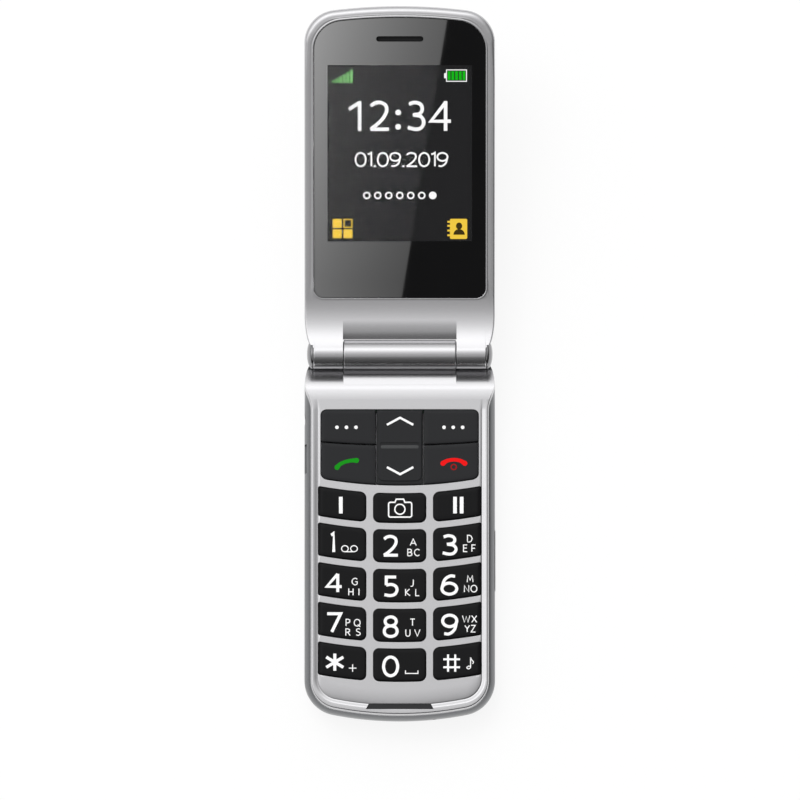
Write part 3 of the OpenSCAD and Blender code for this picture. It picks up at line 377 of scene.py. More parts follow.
# Marks in a box of height 1: width of the box, then strokes. "s" is a curve through its points,
# "l" straight lines, "o" a closed curve.
GLYPHS = {
    "0": (0.78, ["o", (0.39, 1), (0.66, 0.86), (0.77, 0.5), (0.66, 0.14), (0.39, 0), (0.12, 0.14),
                 (0.01, 0.5), (0.12, 0.86)]),
    "1": (0.30, ["l", (0, 0.9), (0.14, 0.93), (0.27, 1.02), (0.27, 0)]),
    "2": (0.80, ["s", (0.04, 0.86), (0.2, 0.97), (0.42, 1), (0.65, 0.9), (0.7, 0.68), (0.56, 0.42),
                 (0.3, 0.18), (0.03, 0)], ["l", (0.02, 0), (0.8, 0)]),
    "3": (0.74, ["s", (0.07, 0.93), (0.32, 1), (0.58, 0.93), (0.66, 0.75), (0.54, 0.58),
                 (0.24, 0.53)],
          ["s", (0.3, 0.53), (0.6, 0.47), (0.73, 0.26), (0.6, 0.05), (0.34, 0), (0.02, 0.07)]),
    "4": (0.86, ["l", (0.64, 1), (0.03, 0.3), (0.86, 0.3)], ["l", (0.64, 0), (0.64, 1)]),
    "tall 1": (0.30, ["l", (-0.03, 0.74), (0.26, 0.99)], ["l", (0.27, -0.06), (0.27, 1.05)]),
    "tall 4": (0.86, ["l", (0.64, 1), (0.03, 0.3), (0.86, 0.3)],
               ["l", (0.64, -0.06), (0.64, 1.05)]),
    "5": (0.72, ["l", (0.66, 1), (0.12, 1), (0.12, 0.56)],
          ["s", (0.12, 0.56), (0.4, 0.6), (0.64, 0.5), (0.71, 0.3), (0.6, 0.08), (0.34, 0),
           (0.02, 0.05)]),
    "6": (0.78, ["o", (0.39, 0.6), (0.66, 0.51), (0.77, 0.3), (0.66, 0.09), (0.39, 0), (0.12, 0.09),
                 (0.01, 0.3), (0.12, 0.51)],
          ["s", (0.68, 0.97), (0.42, 0.98), (0.14, 0.76), (0.01, 0.3)]),
    "7": (0.80, ["l", (0, 1), (0.76, 1), (0.26, 0)]),
    "8": (0.76, ["o", (0.38, 1), (0.6, 0.93), (0.68, 0.77), (0.6, 0.61), (0.38, 0.54),
                 (0.16, 0.61), (0.08, 0.77), (0.16, 0.93)],
          ["o", (0.38, 0.54), (0.64, 0.46), (0.73, 0.27), (0.64, 0.08), (0.38, 0), (0.12, 0.08),
           (0.03, 0.27), (0.12, 0.46)]),
    "9": (0.78, ["o", (0.39, 0.4), (0.12, 0.49), (0.01, 0.7), (0.12, 0.91), (0.39, 1), (0.66, 0.91),
                 (0.77, 0.7), (0.66, 0.49)],
          ["s", (0.1, 0.03), (0.36, 0.02), (0.64, 0.24), (0.77, 0.7)]),
    "A": (0.9, ["l", (0, 0), (0.45, 1), (0.9, 0)], ["l", (0.17, 0.34), (0.73, 0.34)]),
    "B": (0.66, ["l", (0.04, 0), (0.04, 1), (0.36, 1), (0.58, 0.88), (0.58, 0.66), (0.36, 0.53),
                 (0.06, 0.53)],
          ["l", (0.36, 0.53), (0.64, 0.4), (0.64, 0.12), (0.4, 0), (0.04, 0)]),
    "C": (0.76, ["s", (0.74, 0.86), (0.44, 1), (0.1, 0.8), (0, 0.5), (0.1, 0.2), (0.44, 0),
                 (0.74, 0.14)]),
    "D": (0.74, ["l", (0.04, 0), (0.04, 1), (0.34, 1), (0.62, 0.84), (0.74, 0.5), (0.62, 0.16),
                 (0.34, 0), (0.04, 0)]),
    "E": (0.6, ["l", (0.6, 1), (0.05, 1), (0.05, 0), (0.6, 0)], ["l", (0.05, 0.53), (0.54, 0.53)]),
    "F": (0.58, ["l", (0.58, 1), (0.05, 1), (0.05, 0)], ["l", (0.05, 0.5), (0.52, 0.5)]),
    "G": (0.8, ["s", (0.76, 0.87), (0.44, 1), (0.1, 0.8), (0, 0.5), (0.1, 0.2), (0.44, 0),
                (0.76, 0.12)], ["l", (0.76, 0.12), (0.76, 0.48), (0.48, 0.48)]),
    "H": (0.72, ["l", (0.04, 0), (0.04, 1)], ["l", (0.68, 0), (0.68, 1)],
          ["l", (0.04, 0.52), (0.68, 0.52)]),
    "I": (0.1, ["l", (0.05, 0), (0.05, 1)]),
    "J": (0.42, ["s", (0.4, 1), (0.4, 0.5), (0.36, 0.14), (0.2, 0), (0, 0.02)]),
    "K": (0.7, ["l", (0.05, 0), (0.05, 1)], ["l", (0.64, 1), (0.1, 0.5), (0.7, 0)]),
    "L": (0.58, ["l", (0.05, 1), (0.05, 0), (0.58, 0)]),
    "M": (0.9, ["l", (0.02, 0), (0.1, 1), (0.45, 0.3), (0.8, 1), (0.88, 0)]),
    "N": (0.74, ["l", (0.04, 0), (0.04, 1), (0.7, 0), (0.7, 1)]),
    "O": (0.88, ["o", (0.44, 1), (0.76, 0.85), (0.88, 0.5), (0.76, 0.15), (0.44, 0), (0.12, 0.15),
                 (0, 0.5), (0.12, 0.85)]),
    "P": (0.62, ["l", (0.05, 0), (0.05, 1), (0.36, 1), (0.6, 0.88), (0.6, 0.58), (0.36, 0.46),
                 (0.07, 0.46)]),
    "Q": (0.9, ["o", (0.44, 1), (0.76, 0.85), (0.88, 0.5), (0.76, 0.15), (0.44, 0), (0.12, 0.15),
                (0, 0.5), (0.12, 0.85)], ["l", (0.52, 0.24), (0.9, -0.1)]),
    "R": (0.68, ["l", (0.05, 0), (0.05, 1), (0.36, 1), (0.6, 0.88), (0.6, 0.62), (0.36, 0.5),
                 (0.07, 0.5)], ["l", (0.34, 0.5), (0.68, 0)]),
    "S": (0.6, ["s", (0.56, 0.92), (0.3, 1), (0.06, 0.86), (0.1, 0.62), (0.34, 0.5), (0.56, 0.36),
                (0.56, 0.12), (0.28, 0), (0.02, 0.08)]),
    "T": (0.68, ["l", (0, 1), (0.68, 1)], ["l", (0.34, 1), (0.34, 0)]),
    "U": (0.7, ["s", (0.04, 1), (0.04, 0.4), (0.12, 0.1), (0.35, 0), (0.58, 0.1), (0.66, 0.4),
                (0.66, 1)]),
    "V": (0.8, ["l", (0, 1), (0.4, 0), (0.8, 1)]),
    "W": (1.1, ["l", (0, 1), (0.28, 0), (0.55, 0.9), (0.82, 0), (1.1, 1)]),
    "X": (0.74, ["l", (0, 1), (0.74, 0)], ["l", (0.74, 1), (0, 0)]),
    "Y": (0.7, ["l", (0, 1), (0.35, 0.48), (0.7, 1)], ["l", (0.35, 0.5), (0.35, 0)]),
    "Z": (0.66, ["l", (0, 1), (0.64, 1), (0.02, 0), (0.66, 0)]),
    "*": (1.0, ["l", (0.5, 0), (0.5, 1)], ["l", (0, 0.8), (1, 0.2)], ["l", (0, 0.2), (1, 0.8)]),
    "#": (0.98, ["l", (0.28, 0), (0.28, 1)], ["l", (0.7, 0), (0.7, 1)],
          ["l", (0, 0.72), (0.98, 0.72)], ["l", (0, 0.26), (0.98, 0.26)]),
    "+": (1.0, ["l", (0.5, 0), (0.5, 1)], ["l", (0, 0.5), (1, 0.5)]),
    "space": (1.0, ["l", (0, 1), (0, 0), (1, 0), (1, 1)]),
    "tape": (2.4, ["o", (0.52, 1), (0.88, 0.85), (1.02, 0.5), (0.88, 0.15), (0.52, 0),
                   (0.16, 0.15), (0.02, 0.5), (0.16, 0.85)],
             ["o", (1.88, 1), (2.24, 0.85), (2.38, 0.5), (2.24, 0.15), (1.88, 0), (1.52, 0.15),
              (1.38, 0.5), (1.52, 0.85)], ["l", (0.5, 0), (1.9, 0)]),
    "note": (0.5, ["s", (0.34, 0.2), (0.34, 0.6), (0.34, 1.0), (0.44, 0.8), (0.56, 0.66),
                   (0.5, 0.48)], ["o", (0.2, 0.3), (0.34, 0.2), (0.2, 0.06), (0.04, 0.16)]),
    "up": (2.0, ["l", (0, 0), (1, 1), (2, 0)]),
    "down": (2.0, ["l", (0, 1), (1, 0), (2, 1)]),
}
SINK = 0.03                 # how deep a mark reaches into what it is printed on
RISE = 0.02                 # how far a printed layer stands above it
LAYER = 0.002               # each stroke of a mark lies this much above the one before


def filled(outline, z, rise=RISE):
    """An outline printed as one layer."""
    return prism(outline, z - SINK, z + rise)


def lined(path, width, z, closed=True, rise=RISE):
    """A path printed as a line."""
    return stroke(path, width, z - SINK, z + rise, closed)


def bar(x, y, w, h, z):
    """A bar printed from one corner, with its width and height."""
    return block(x, x + w, y, y + h, z - SINK, z + RISE)


def dot(x, y, r, z, rise=RISE):
    """A round printed spot."""
    return filled(oval(x, y, r, r), z, rise)


def mark(name, box, weight, z, up):
    """A mark drawn into a box (left, right, top, foot), where y grows by up (1 or -1) towards the
    top. Strokes are scaled to the box less their own width."""
    width, *strokes = GLYPHS[name]
    x0, x1, top, foot = box
    sx = (x1 - x0 - weight) / width
    sy = (abs(top - foot) - weight) * up
    shapes = []
    for i, (kind, *points) in enumerate(strokes):
        p = np.array(points, float)
        p = np.column_stack((x0 + weight / 2 + p[:, 0] * sx,
                             foot + up * weight / 2 + p[:, 1] * sy))
        closed = kind == "o"
        if kind != "l":
            p = spline(p, closed)
        shapes.append(lined(p, weight, z, closed, RISE + i * LAYER))
    return joined(*shapes)


def centred(name, x, y, size, weight, z, up):
    """A mark of one height about its middle, as wide as its own proportions."""
    w = GLYPHS[name][0] * (size - weight) + weight
    return mark(name, (x - w / 2, x + w / 2, y + up * size / 2, y - up * size / 2), weight, z, up)


def rounded_plan(x0, x1, y0, y1, radii, bends=(1, 1), y_bends=(0, 1)):
    """Plan of a key: a rectangle with round corners, each point moved towards the hinge by its
    x squared over twice the radius of the row's curve, as far as the bend at its height says."""
    r = radii
    long = np.linspace(0, 1, 16)[1:-1]
    tall = np.linspace(0, 1, 6)[1:-1]
    rect = np.vstack((
        arc(x1 - r[1], y0 + r[1], r[1], -90, 0, 8),
        np.column_stack((np.full(4, x1), y0 + r[1] + (y1 - r[2] - y0 - r[1]) * tall)),
        arc(x1 - r[2], y1 - r[2], r[2], 0, 90, 8),
        np.column_stack((x1 - r[2] + (x0 + r[3] - x1 + r[2]) * long, np.full(14, y1))),
        arc(x0 + r[3], y1 - r[3], r[3], 90, 180, 8),
        np.column_stack((np.full(4, x0), y1 - r[3] + (y0 + r[0] - y1 + r[3]) * tall)),
        arc(x0 + r[0], y0 + r[0], r[0], 180, 270, 8),
        np.column_stack((x0 + r[0] + (x1 - r[1] - x0 - r[0]) * long, np.full(14, y0)))))
    bend = bends[0] + (bends[1] - bends[0]) * (rect[:, 1] - y_bends[0]) / (y_bends[1] - y_bends[0])
    return rect - np.column_stack((np.zeros(len(rect)), rect[:, 0] ** 2 / (2 * ROW_BOW) * bend))


def bar_plan(x0, x1, y0, y1, r):
    """A rectangle with one radius at its corners and no bend."""
    return rounded_plan(x0, x1, y0, y1, [r] * 4, (0, 0))


NAV_BENDS = ((0, 1), (NAV_TOP, NAV_BOTTOM))     # straight at the top and bent at the foot
NAV_X = (6.55, 21.4)        # ends of a key beside the rocker
ROCKER_X = 6.25             # half width of the rocker
SIDE_X = (9.3, 22.2)        # ends of a key in an outer column
MID_X = 7.05                # half width of a key in the middle column
CORNER, TIGHT = 1.5, 0.4    # radius of a key's free corners, and of those by a neighbour or the rim
KEY_GAP = 0.15
ROWS = [(38.4, 46.2), (48.4, 57.1), (59.3, 68.0), (70.2, 78.9), (81.1, 89.8)]


def number_plan(column, row, grow=0.0, flange=0.0):
    """Plan of the key in a column (-1, 0 or 1) and a row, made larger all round by grow, and
    towards its neighbours, but not the rim, by flange."""
    r, g = max(CORNER + grow, 0.3), grow + flange
    y0, y1 = ROWS[row][0] - g, ROWS[row][1] + g
    if column == 0:
        return rounded_plan(-MID_X - g, MID_X + g, y0, y1, [r] * 4)
    end = max(TIGHT + grow, 0.1)
    plan = rounded_plan(SIDE_X[0] - g, SIDE_X[1] + grow, y0, y1, [r, end, end, r])
    return plan if column > 0 else plan[::-1] * (-1, 1)


def nav_plan(x0, x1, y0, y1, radii, grow=0.0):
    """Plan of a key of the navigation group, whose top is straight and whose foot is bent."""
    r = [max(v + grow, 0.05) for v in radii]
    return rounded_plan(x0 - grow, x1 + grow, y0 - grow, y1 + grow, r, *NAV_BENDS)


def nav_opening(grow):
    """Plan of the one opening for all keys of the navigation group."""
    return nav_plan(-NAV_X[1], NAV_X[1], NAV_TOP, NAV_BOTTOM, [CORNER] * 4, KEY_GAP + grow)


def opening(plan, lip):
    """Cutter for an opening in the keypad's face: upright, then widening over the top's lip as
    a quarter of a circle does."""
    a = np.radians([0, 30, 60, 90])
    edge = [at_height(plan(lip * (1 - math.cos(t))), BODY_TOP - lip + lip * math.sin(t)) for t in a]
    return loft([at_height(plan(0), DECK_Z - 1), *edge, at_height(plan(lip), BODY_TOP + 2)])


# Profile of the hollow that takes the closed lid's ramps, at least 0.4 mm clear of them
HOLLOW = [(13.4, 11.005), (12.6, 10.998), (11.5, 10.965), (10.4, 10.885), (9.3, 10.75),
          (8.3, 10.5), (7.3, 10.15), (6.3, 9.71), (5.3, 9.21), (4.3, 8.67), (3.2, 8.03)]


def scoop():
    """Cutter for the hollow: everything above a smooth curve that leaves the keypad's face."""
    end, start, over = HOLLOW[0][0], HOLLOW[-1][0], HINGE_Z + 6
    profile = np.vstack((spline(HOLLOW, n=5), [(start, over), (end, over)]))
    return along_x(profile, -HALF_W - 1, HALF_W + 1)


def knuckle_notches():
    """Cutters beside the middle barrel, which make room for the lid's knuckles."""
    wheel = turned_x([(BARREL_X, NOTCH_R), (HALF_W + 1, NOTCH_R)], 96, 0, HINGE_Z)
    gap = block(BARREL_X, HALF_W + 1, -5, 0.01, FRAME_Z, HINGE_Z + 4)
    return [wheel, mirrored(wheel), gap, mirrored(gap)]


def aprons(z1):
    """Where the frame reaches lower beside the barrel, so that the whole hollow is one surface."""
    apron = block(BARREL_X - 0.2, 23.6, 2.9, 6.0, 7.0, z1)
    return [apron, mirrored(apron)]


FOOT_BAR = (8.4, 95.9, 9.2, 97.4)       # half width and place of its upper and its lower edge


def foot_bar(grow, z0, z1, rings=((0, 0), (1, 0))):
    """The bar at the foot of the face: a trapezoid whose rings are (share of the height, inset)."""
    w0, y0, w1, y1 = FOOT_BAR
    return loft([at_height(np.array([(-w0 - g, y0 - g), (w0 + g, y0 - g), (w1 + g, y1 + g),
                                     (-w1 - g, y1 + g)]), z0 + (z1 - z0) * t)
                 for t, inset in rings for g in [grow - inset]])


def keypad_frame(lip):
    """Front shell of the keypad half in one surface: rings from the foot of its wall over the
    rounded rim, through the groove and over the round edge of the face, then cut and joined to
    the middle barrel of the hinge. The groove fades out towards the hinge as a cubic."""
    wall = [(FRAME_IN, FRAME_Z)] + [
        (FRAME_IN + RIM_STEP + RIM_EDGE[1] * (1 - math.cos(t)),
         BODY_TOP - RIM_EDGE[0] * (1 - math.sin(t))) for t in np.linspace(0, math.pi / 2, 7)]
    rings = [at_height(half_outline(longer(BODY_SHAPE, FOOT_OUT), inset, FRAME_IN), z)
             for inset, z in wall]
    groove = [(2.42, 10.99), (2.55, 10.975), (2.7, 10.935), (2.9, 10.86), (3.1, 10.775),
              (3.3, 10.69), (3.48, 10.625), (GROOVE_IN, BODY_TOP - GROOVE_D)]
    flat = [(half_outline(GROOVE_SHAPE, inset), z) for inset, z in groove]
    for t in np.linspace(0.12, math.pi / 2, 9):
        e = EDGE_W * (1 - math.cos(t))
        shape = (HALF_W, GROOVE_SHAPE[1], BODY_L - FOOT_SLOPE * e / EDGE_W, *GROOVE_SHAPE[3:])
        flat.append((half_outline(shape, GROOVE_IN + e), BODY_TOP - GROOVE_D * (1 - math.sin(t))))
    level = BODY_TOP - 0.008
    for plan, z in flat:
        share = np.clip((plan[:, 1] - FADE_Y) / FADE_L, 0, 1)
        rings.append(at_height(plan, level - (level - z) * share ** 2 * (3 - 2 * share)))
    frame = combined(loft(rings), [block(-BARREL_X, BARREL_X, 0, ROOT_L, BOARD_Z, FRAME_Z + 0.1),
                                   *aprons(FRAME_Z + 0.1)], "UNION")
    cuts = [prism(half_outline(CAVITY_SHAPE), FRAME_Z - 1, DECK_Z), scoop(), *knuckle_notches(),
            opening(nav_opening, lip), foot_bar(0.05, 10.0, 12)]
    cuts += [opening(lambda g, c=c, r=r: number_plan(c, r, KEY_GAP + g), lip)
             for c in (-1, 0, 1) for r in range(5)]
    frame = combined(frame, cuts, "DIFFERENCE")
    # The barrel with round ends, the screws' bosses, and the tongue from the face to the barrel
    end = [(BARREL_X - 0.35 * (1 - math.cos(t)), BARREL_R - 0.35 * (1 - math.sin(t)))
           for t in np.radians([0, 30, 60, 90])]
    barrel = turned_x([(-x, r) for x, r in end] + end[::-1], 96, 0, HINGE_Z)
    bosses = [turned_z([(BOSS_R, BOARD_Z), (BOSS_R, DECK_Z + 0.1)], x, y, 32) for x, y in SCREWS]
    tongue = along_x(np.array([(3.0, 8.9), (4.1, 8.95), (4.5, 9.12), (4.85, 9.4), (5.2, 9.62),
                               (5.7, 9.79), (6.4, 9.98), (7.2, 10.2), (8.2, 10.48), (8.2, 8.6),
                               (3.0, 8.0)]), -BARREL_X, BARREL_X)
    frame = combined(frame, [barrel, tongue, *bosses], "UNION")
    bore = turned_x([(9.35, 1.33), (BARREL_X + 1, 1.33)], 48, 0, HINGE_Z)
    shanks = [turned_z([(BORE_R, BOARD_Z - 1), (BORE_R, DECK_Z - 0.3)], x, y, 24)
              for x, y in SCREWS]
    return combined(frame, [bore, mirrored(bore), *shanks], "DIFFERENCE")


VOLUME = (47.5, 64.5, 3.3, 5.9)     # side view of the volume key: (y0, y1, z0, z1)


def volume_plan(grow):
    """Side view of the volume key, (y, z), made larger by grow."""
    y0, y1, z0, z1 = VOLUME
    return bar_plan(y0 - grow, y1 + grow, z0 - grow, z1 + grow, max(1.1 + grow, 0.1))


def outwards(rings):
    """A loft whose rings are side views: their height becomes x, and their plan (y, z)."""
    points, faces = loft(rings)
    return points[:, [2, 0, 1]], faces


# How the upper wall leans in: (height, share of the frame's inset)
LEAN = [(5.5, 0), (6.2, 0.08), (6.8, 0.22), (7.3, 0.37), (7.8, 0.56), (8.2, 0.78), (8.5, 1)]
# Rooms in the back shell: for the battery, for what hangs under the board, for the battery's
# contacts, for the antenna with the microphone, and the hollows in the walls beside the battery
ROOMS = [(-18.2, 18.2, 42, 94.2, 0, 6.4), (-19.6, 19.6, 14.2, 41, SKIN_IN, 9),
         (-4.6, 4.6, 40, 43, SKIN_IN, 6.4), (-12.6, 11.5, 95, 97.6, SKIN_IN, 7.3),
         (-22.4, -19.6, 68, 84.2, SKIN_IN, 8.2), (19.6, 22.4, 68, 84.2, SKIN_IN, 8.2)]
WALL_IN = 18.6                      # the sockets' rooms in the left wall reach in to here


def side_shell():
    """Back shell of the keypad half: a rounded foot, an upright wall, a short lean inwards, and
    the rooms for what is inside."""
    rings = [at_height(half_outline(BODY_SHAPE, w), z) for z, w in quarter(*BACK_EDGE, 12)]
    rings += [at_height(half_outline(longer(BODY_SHAPE, s * FOOT_OUT), s * FRAME_IN,
                                     s * FRAME_IN), z) for z, s in LEAN]
    screws = [turned_z([(HEAD_R, -1), (HEAD_R, SKIN_IN), (CLEAR_R, SKIN_IN), (CLEAR_R, BOARD_Z),
                        (BOSS_R + 0.1, BOARD_Z), (BOSS_R + 0.1, 12)], x, y, 32) for x, y in SCREWS]
    # Headset jack with its narrow mouth, charging socket, microphone hole, and the room of the
    # volume key's flange with the opening before it
    jack = turned_x([(-HALF_W - 1, 1.85), (-25.43, 1.85), (-25.42, 2.55), (-WALL_IN, 2.55)], 48,
                    17.2, 4.7)
    usb = block(-HALF_W - 1, -WALL_IN, 24.2, 32.2, 4.45, 7.25)
    hole = turned_y([(0.5, 95.5), (0.5, 120)], 9.4, 4.7, 24)
    room = [outwards([at_height(volume_plan(0.9), 21.4), at_height(volume_plan(0.9), 24.15)]),
            outwards([at_height(volume_plan(0.2), 23), at_height(volume_plan(0.2), 28)])]
    # Room for the root and the barrel of the front shell, 0.1 mm clear of both
    side = BARREL_X + 0.1
    root = block(-side, side, -5, ROOT_L + 0.1, BOARD_Z - 0.1, 9.5)
    pivot = turned_x([(-side, BARREL_R + 0.1), (side, BARREL_R + 0.1)], 96, 0, HINGE_Z)
    cuts = [prism(half_outline(CAVITY_SHAPE), BOARD_Z, 9.5), prism(door_plan(-0.1), -1, 1.3),
            *[block(*sides) for sides in ROOMS], *screws, jack, usb, hole, *room, root, pivot,
            scoop(), *knuckle_notches(), *sound_slots(0.2, 3), *aprons(FRAME_Z + 1)]
    return combined(loft(rings), cuts, "DIFFERENCE")


def door_plan(inset):
    """Outline of the battery's cover."""
    return half_outline(DOOR_SHAPE, 3.2 + inset)


def sound_slots(z0, z1):
    """Five openings with round ends over the loudspeaker."""
    return [prism(bar_plan(-10, -2, y - 0.5, y + 0.5, 0.48), z0, z1)
            for y in 31.2 + 2.0 * np.arange(-2, 3)]


def battery_door():
    """The cover of the battery: a plate with a rounded lower edge, a nail notch, grip ribs near
    the foot and the slots over the loudspeaker."""
    rings = [at_height(door_plan(w), z) for z, w in [*quarter(0.45, 0.45, 5), (1.2, 0)]]
    notch = turned_y([(1.0, 95.4), (1.0, 98.2)], 0, -0.4, 32)
    grips = [prism(bar_plan(-w, w, y - 0.35, y + 0.35, 0.33), -1, 0.25)
             for y, w in ((86, 9), (88, 8), (90, 7), (92, 6))]
    return combined(loft(rings), [*sound_slots(-1, 2), notch, *grips], "DIFFERENCE")


# ---- Lid ----


def ramp_arc(d0, d1, n):
    """Points of the hollow ramp from the distance d0 to d1 from the axis: a circle that is
    tangent to the lid's face and to the barrel."""
    d = np.linspace(d0, d1, n + 1)
    return np.column_stack((d, RAMP_Z - np.sqrt(RAMP_R ** 2 - (RAMP_L - d) ** 2)))


def knuckle():
    """The right knuckle with its ramp: a side view of the ramp and the barrel carried along X,
    with a rounded outer edge."""
    angle = math.degrees(math.atan2(RAMP_Z, RAMP_L))
    tangent = BARREL_R * math.cos(math.radians(angle))
    ramp = ramp_arc(RAMP_END, tangent, 26)
    wheel = arc(0, 0, BARREL_R, angle, 300, 48)[1:]
    profile = np.vstack((ramp, wheel, [(4.4, SPLIT + 0.1), (RAMP_END, SPLIT + 0.4)]))
    near = np.clip((6.5 - profile[:, 0]) / 3, 0, 1)[:, None]
    reach = np.maximum(np.linalg.norm(profile, axis=1, keepdims=True), 1e-6)
    rings = [np.column_stack((np.full(len(profile), KNUCKLE_X), profile))]
    for t in np.linspace(0, math.pi / 2, 6):
        drop = KNUCKLE_EDGE * (1 - math.cos(t))
        x = KNUCKLE_END - KNUCKLE_EDGE + KNUCKLE_EDGE * math.sin(t)
        rings.append(np.column_stack((np.full(len(profile), x),
                                      profile - profile / reach * drop * near)))
    return loft(rings)


def wing():
    """Roll-off of the lid's face beside the right knuckle: one section across the phone for each
    distance from the axis. Its top follows the ramp, its outer edge rounds over as a quarter of
    an ellipse, and its reach grows along the phone as a quarter of an ellipse too."""
    inner = KNUCKLE_END - 0.3
    sections = []
    for d in np.hstack((np.linspace(2.25, 5, 12), np.linspace(5.3, RAMP_END, 22))):
        share = max(WING_L - d, 0) / (WING_L - 2.2)
        reach = KNUCKLE_END + (HALF_W - KNUCKLE_END) * math.sqrt(1 - min(share, 1) ** 2)
        top = ramp_arc(d, d, 0)[0, 1] - 0.004
        edge = quarter(LID_EDGE[0], min(LID_EDGE[1], reach - inner - 0.04), 9)
        x = np.hstack((inner, reach - edge[:, 1], reach, inner))
        z = np.hstack((top, top - edge[:, 0], SPLIT + 0.3, SPLIT + 0.3))
        sections.append(np.column_stack((x, np.full(len(x), d), z)))
    return loft(sections)


def lip():
    """The lid's edge between its knuckles: the ramp, then a round nose that turns down."""
    a0 = 180 + math.degrees(math.acos((RAMP_L - NOSE_Y) / RAMP_R))
    cx = RAMP_L + (RAMP_R + NOSE_R) * math.cos(math.radians(a0))
    cz = RAMP_Z + (RAMP_R + NOSE_R) * math.sin(math.radians(a0))
    profile = np.vstack((ramp_arc(RAMP_END, NOSE_Y, 12), arc(cx, cz, NOSE_R, a0 - 180, 101, 16)[1:],
                         [(LIP_R, INNER), (RAMP_END, INNER)]))
    return along_x(profile, -KNUCKLE_X - 0.1, KNUCKLE_X + 0.1)


def screen_block(grow, z0, z1):
    """A box over the display, made larger by grow."""
    w, y0, y1 = SCREEN
    return block(-w - grow, w + grow, y0 - grow, y1 + grow, z0, z1)


def slot_bar(grow, z0, z1, taper=0.0):
    """The earpiece slot, a bar with round ends, which may widen towards the top."""
    def plan(g):
        return bar_plan(-6.3 - g, 6.3 + g, SLOT_Y - 0.6 - g, SLOT_Y + 0.6 + g, 0.59 + g)
    return loft([at_height(plan(grow), z0), at_height(plan(grow), z1 - taper - 0.001),
                 at_height(plan(grow + taper), z1)])


def lid_frame():
    """Inner shell of the lid in one surface: up the outer wall, over its round edge, across a
    slightly crowned strip, over the bead beside the lens and down to the lens seat. The
    round edge grows wider towards the tip, where the wall is undercut."""
    tip = half_outline(LID_SHAPE)[:, 1]
    wide = np.clip((tip - 78) / 12, 0, 1) ** 2
    rings = [at_height(half_outline(longer(LID_SHAPE, -TIP_IN)), SPLIT)]
    for (z0, w0), (z1, w1) in zip(quarter(*LID_EDGE, 10)[::-1], quarter(*TIP_EDGE, 10)[::-1]):
        plan, tip_plan = half_outline(LID_SHAPE, w0), half_outline(LID_SHAPE, w1)
        rings.append(at_height(plan + (tip_plan - plan) * wide[:, None],
                               FACE - z0 - (z1 - z0) * wide))
    outer, inner = rings[-1][:, :2], half_outline(LENS_SHAPE, -0.62)
    for t in (0.35, 0.7, 1.0):
        plan = outer + (inner - outer) * t
        crown = 0.05 * np.clip((plan[:, 1] - 18) / 8, 0, 1) * (1 - (2 * t - 1) ** 2)
        rings.append(at_height(plan, FACE + crown))
    bead = [(0.5, 0.035), (0.38, 0.09), (0.26, 0.11), (0.14, 0.085), (0.07, 0.02), (0.06, -0.15)]
    for grow, rise in bead:
        plan = half_outline(LENS_SHAPE, -grow)
        soft = np.clip((plan[:, 1] - 15.0) / 2.5, 0.35, 1) if rise > 0 else 1
        rings.append(at_height(plan, FACE + rise * soft))
    rings.append(at_height(half_outline(LENS_SHAPE, -0.06), SEAT))
    right = [knuckle(), wing()]
    whole = combined(loft(rings), [*right, *[mirrored(s) for s in right], lip()], "UNION")
    cap_room = turned_x([(KNUCKLE_END + 0.02, 4.12), (HALF_W + 1, 4.12)], 96)
    cuts = [turned_x([(-KNUCKLE_X, LIP_R), (KNUCKLE_X, LIP_R)], 96), cap_room,
            mirrored(cap_room), prism(half_outline(LID_ROOM_SHAPE, LID_WALL), SPLIT - 1, INNER),
            screen_block(0.1, INNER - 1, SEAT + 1),
            slot_bar(0, INNER - 1, SEAT + 1), slot_bar(0.6, SEAT - 0.3, SEAT + 1),
            turned_x([(-KNUCKLE_END - 1, TUBE_BORE), (-KNUCKLE_X + 1, TUBE_BORE)], 48),
            turned_x([(KNUCKLE_X - 1, SHAFT_BORE), (KNUCKLE_END + 1, SHAFT_BORE)], 48)]
    cuts += [turned_z([(CLEAR_R, INNER - 1), (CLEAR_R, SEAT - 0.6), (HEAD_R, SEAT - 0.6),
                       (HEAD_R, SEAT + 1)], x, y, 32) for x, y in LID_SCREWS]
    return combined(whole, cuts, "DIFFERENCE")


def lid_cover():
    """Outer shell of the lid: a skin whose edge rounds off into the back as a quarter of an
    ellipse, with the seat of the camera window and the bosses of the screws."""
    high, wide = COVER_EDGE
    rings = [at_height(half_outline(longer(LID_SHAPE, -TIP_IN), w), BACK + z)
             for z, w in quarter(high, wide, 14)]
    inner = []
    for h in (1.2, 2.0, 3.0, 3.9, 5.9):
        inset = LID_WALL + wide * (1 - math.sqrt(1 - max(1 - h / high, 0) ** 2))
        inner.append(at_height(half_outline(LID_SHAPE, inset), BACK + h))
    window = turned_z([(3.25, BACK - 1), (3.25, BACK + 0.8), (2.7, BACK + 0.8), (2.7, BACK + 2)],
                      0, CAMERA_Y, 64)
    skin = combined(loft(rings), [loft(inner), window], "DIFFERENCE")
    bosses = [turned_z([(COVER_BOSS_R, -8.0), (COVER_BOSS_R, INNER - 0.1)], x, y, 32)
              for x, y in LID_SCREWS]
    skin = combined(skin, bosses, "UNION")
    bores = [turned_z([(BORE_R, -6.9), (BORE_R, INNER + 1)], x, y, 24) for x, y in LID_SCREWS]
    return combined(skin, bores, "DIFFERENCE")


def end_cap():
    """Cap of the right knuckle: a shallow dome, turned about the axis as an ellipse."""
    a = np.radians(np.linspace(0, 84, 12))
    dome = [(KNUCKLE_END + 0.15 + 1.5 * math.sin(t), BARREL_R * math.cos(t)) for t in a]
    return turned_x([(KNUCKLE_END + 0.05, BARREL_R - 0.1)] + dome, 96)


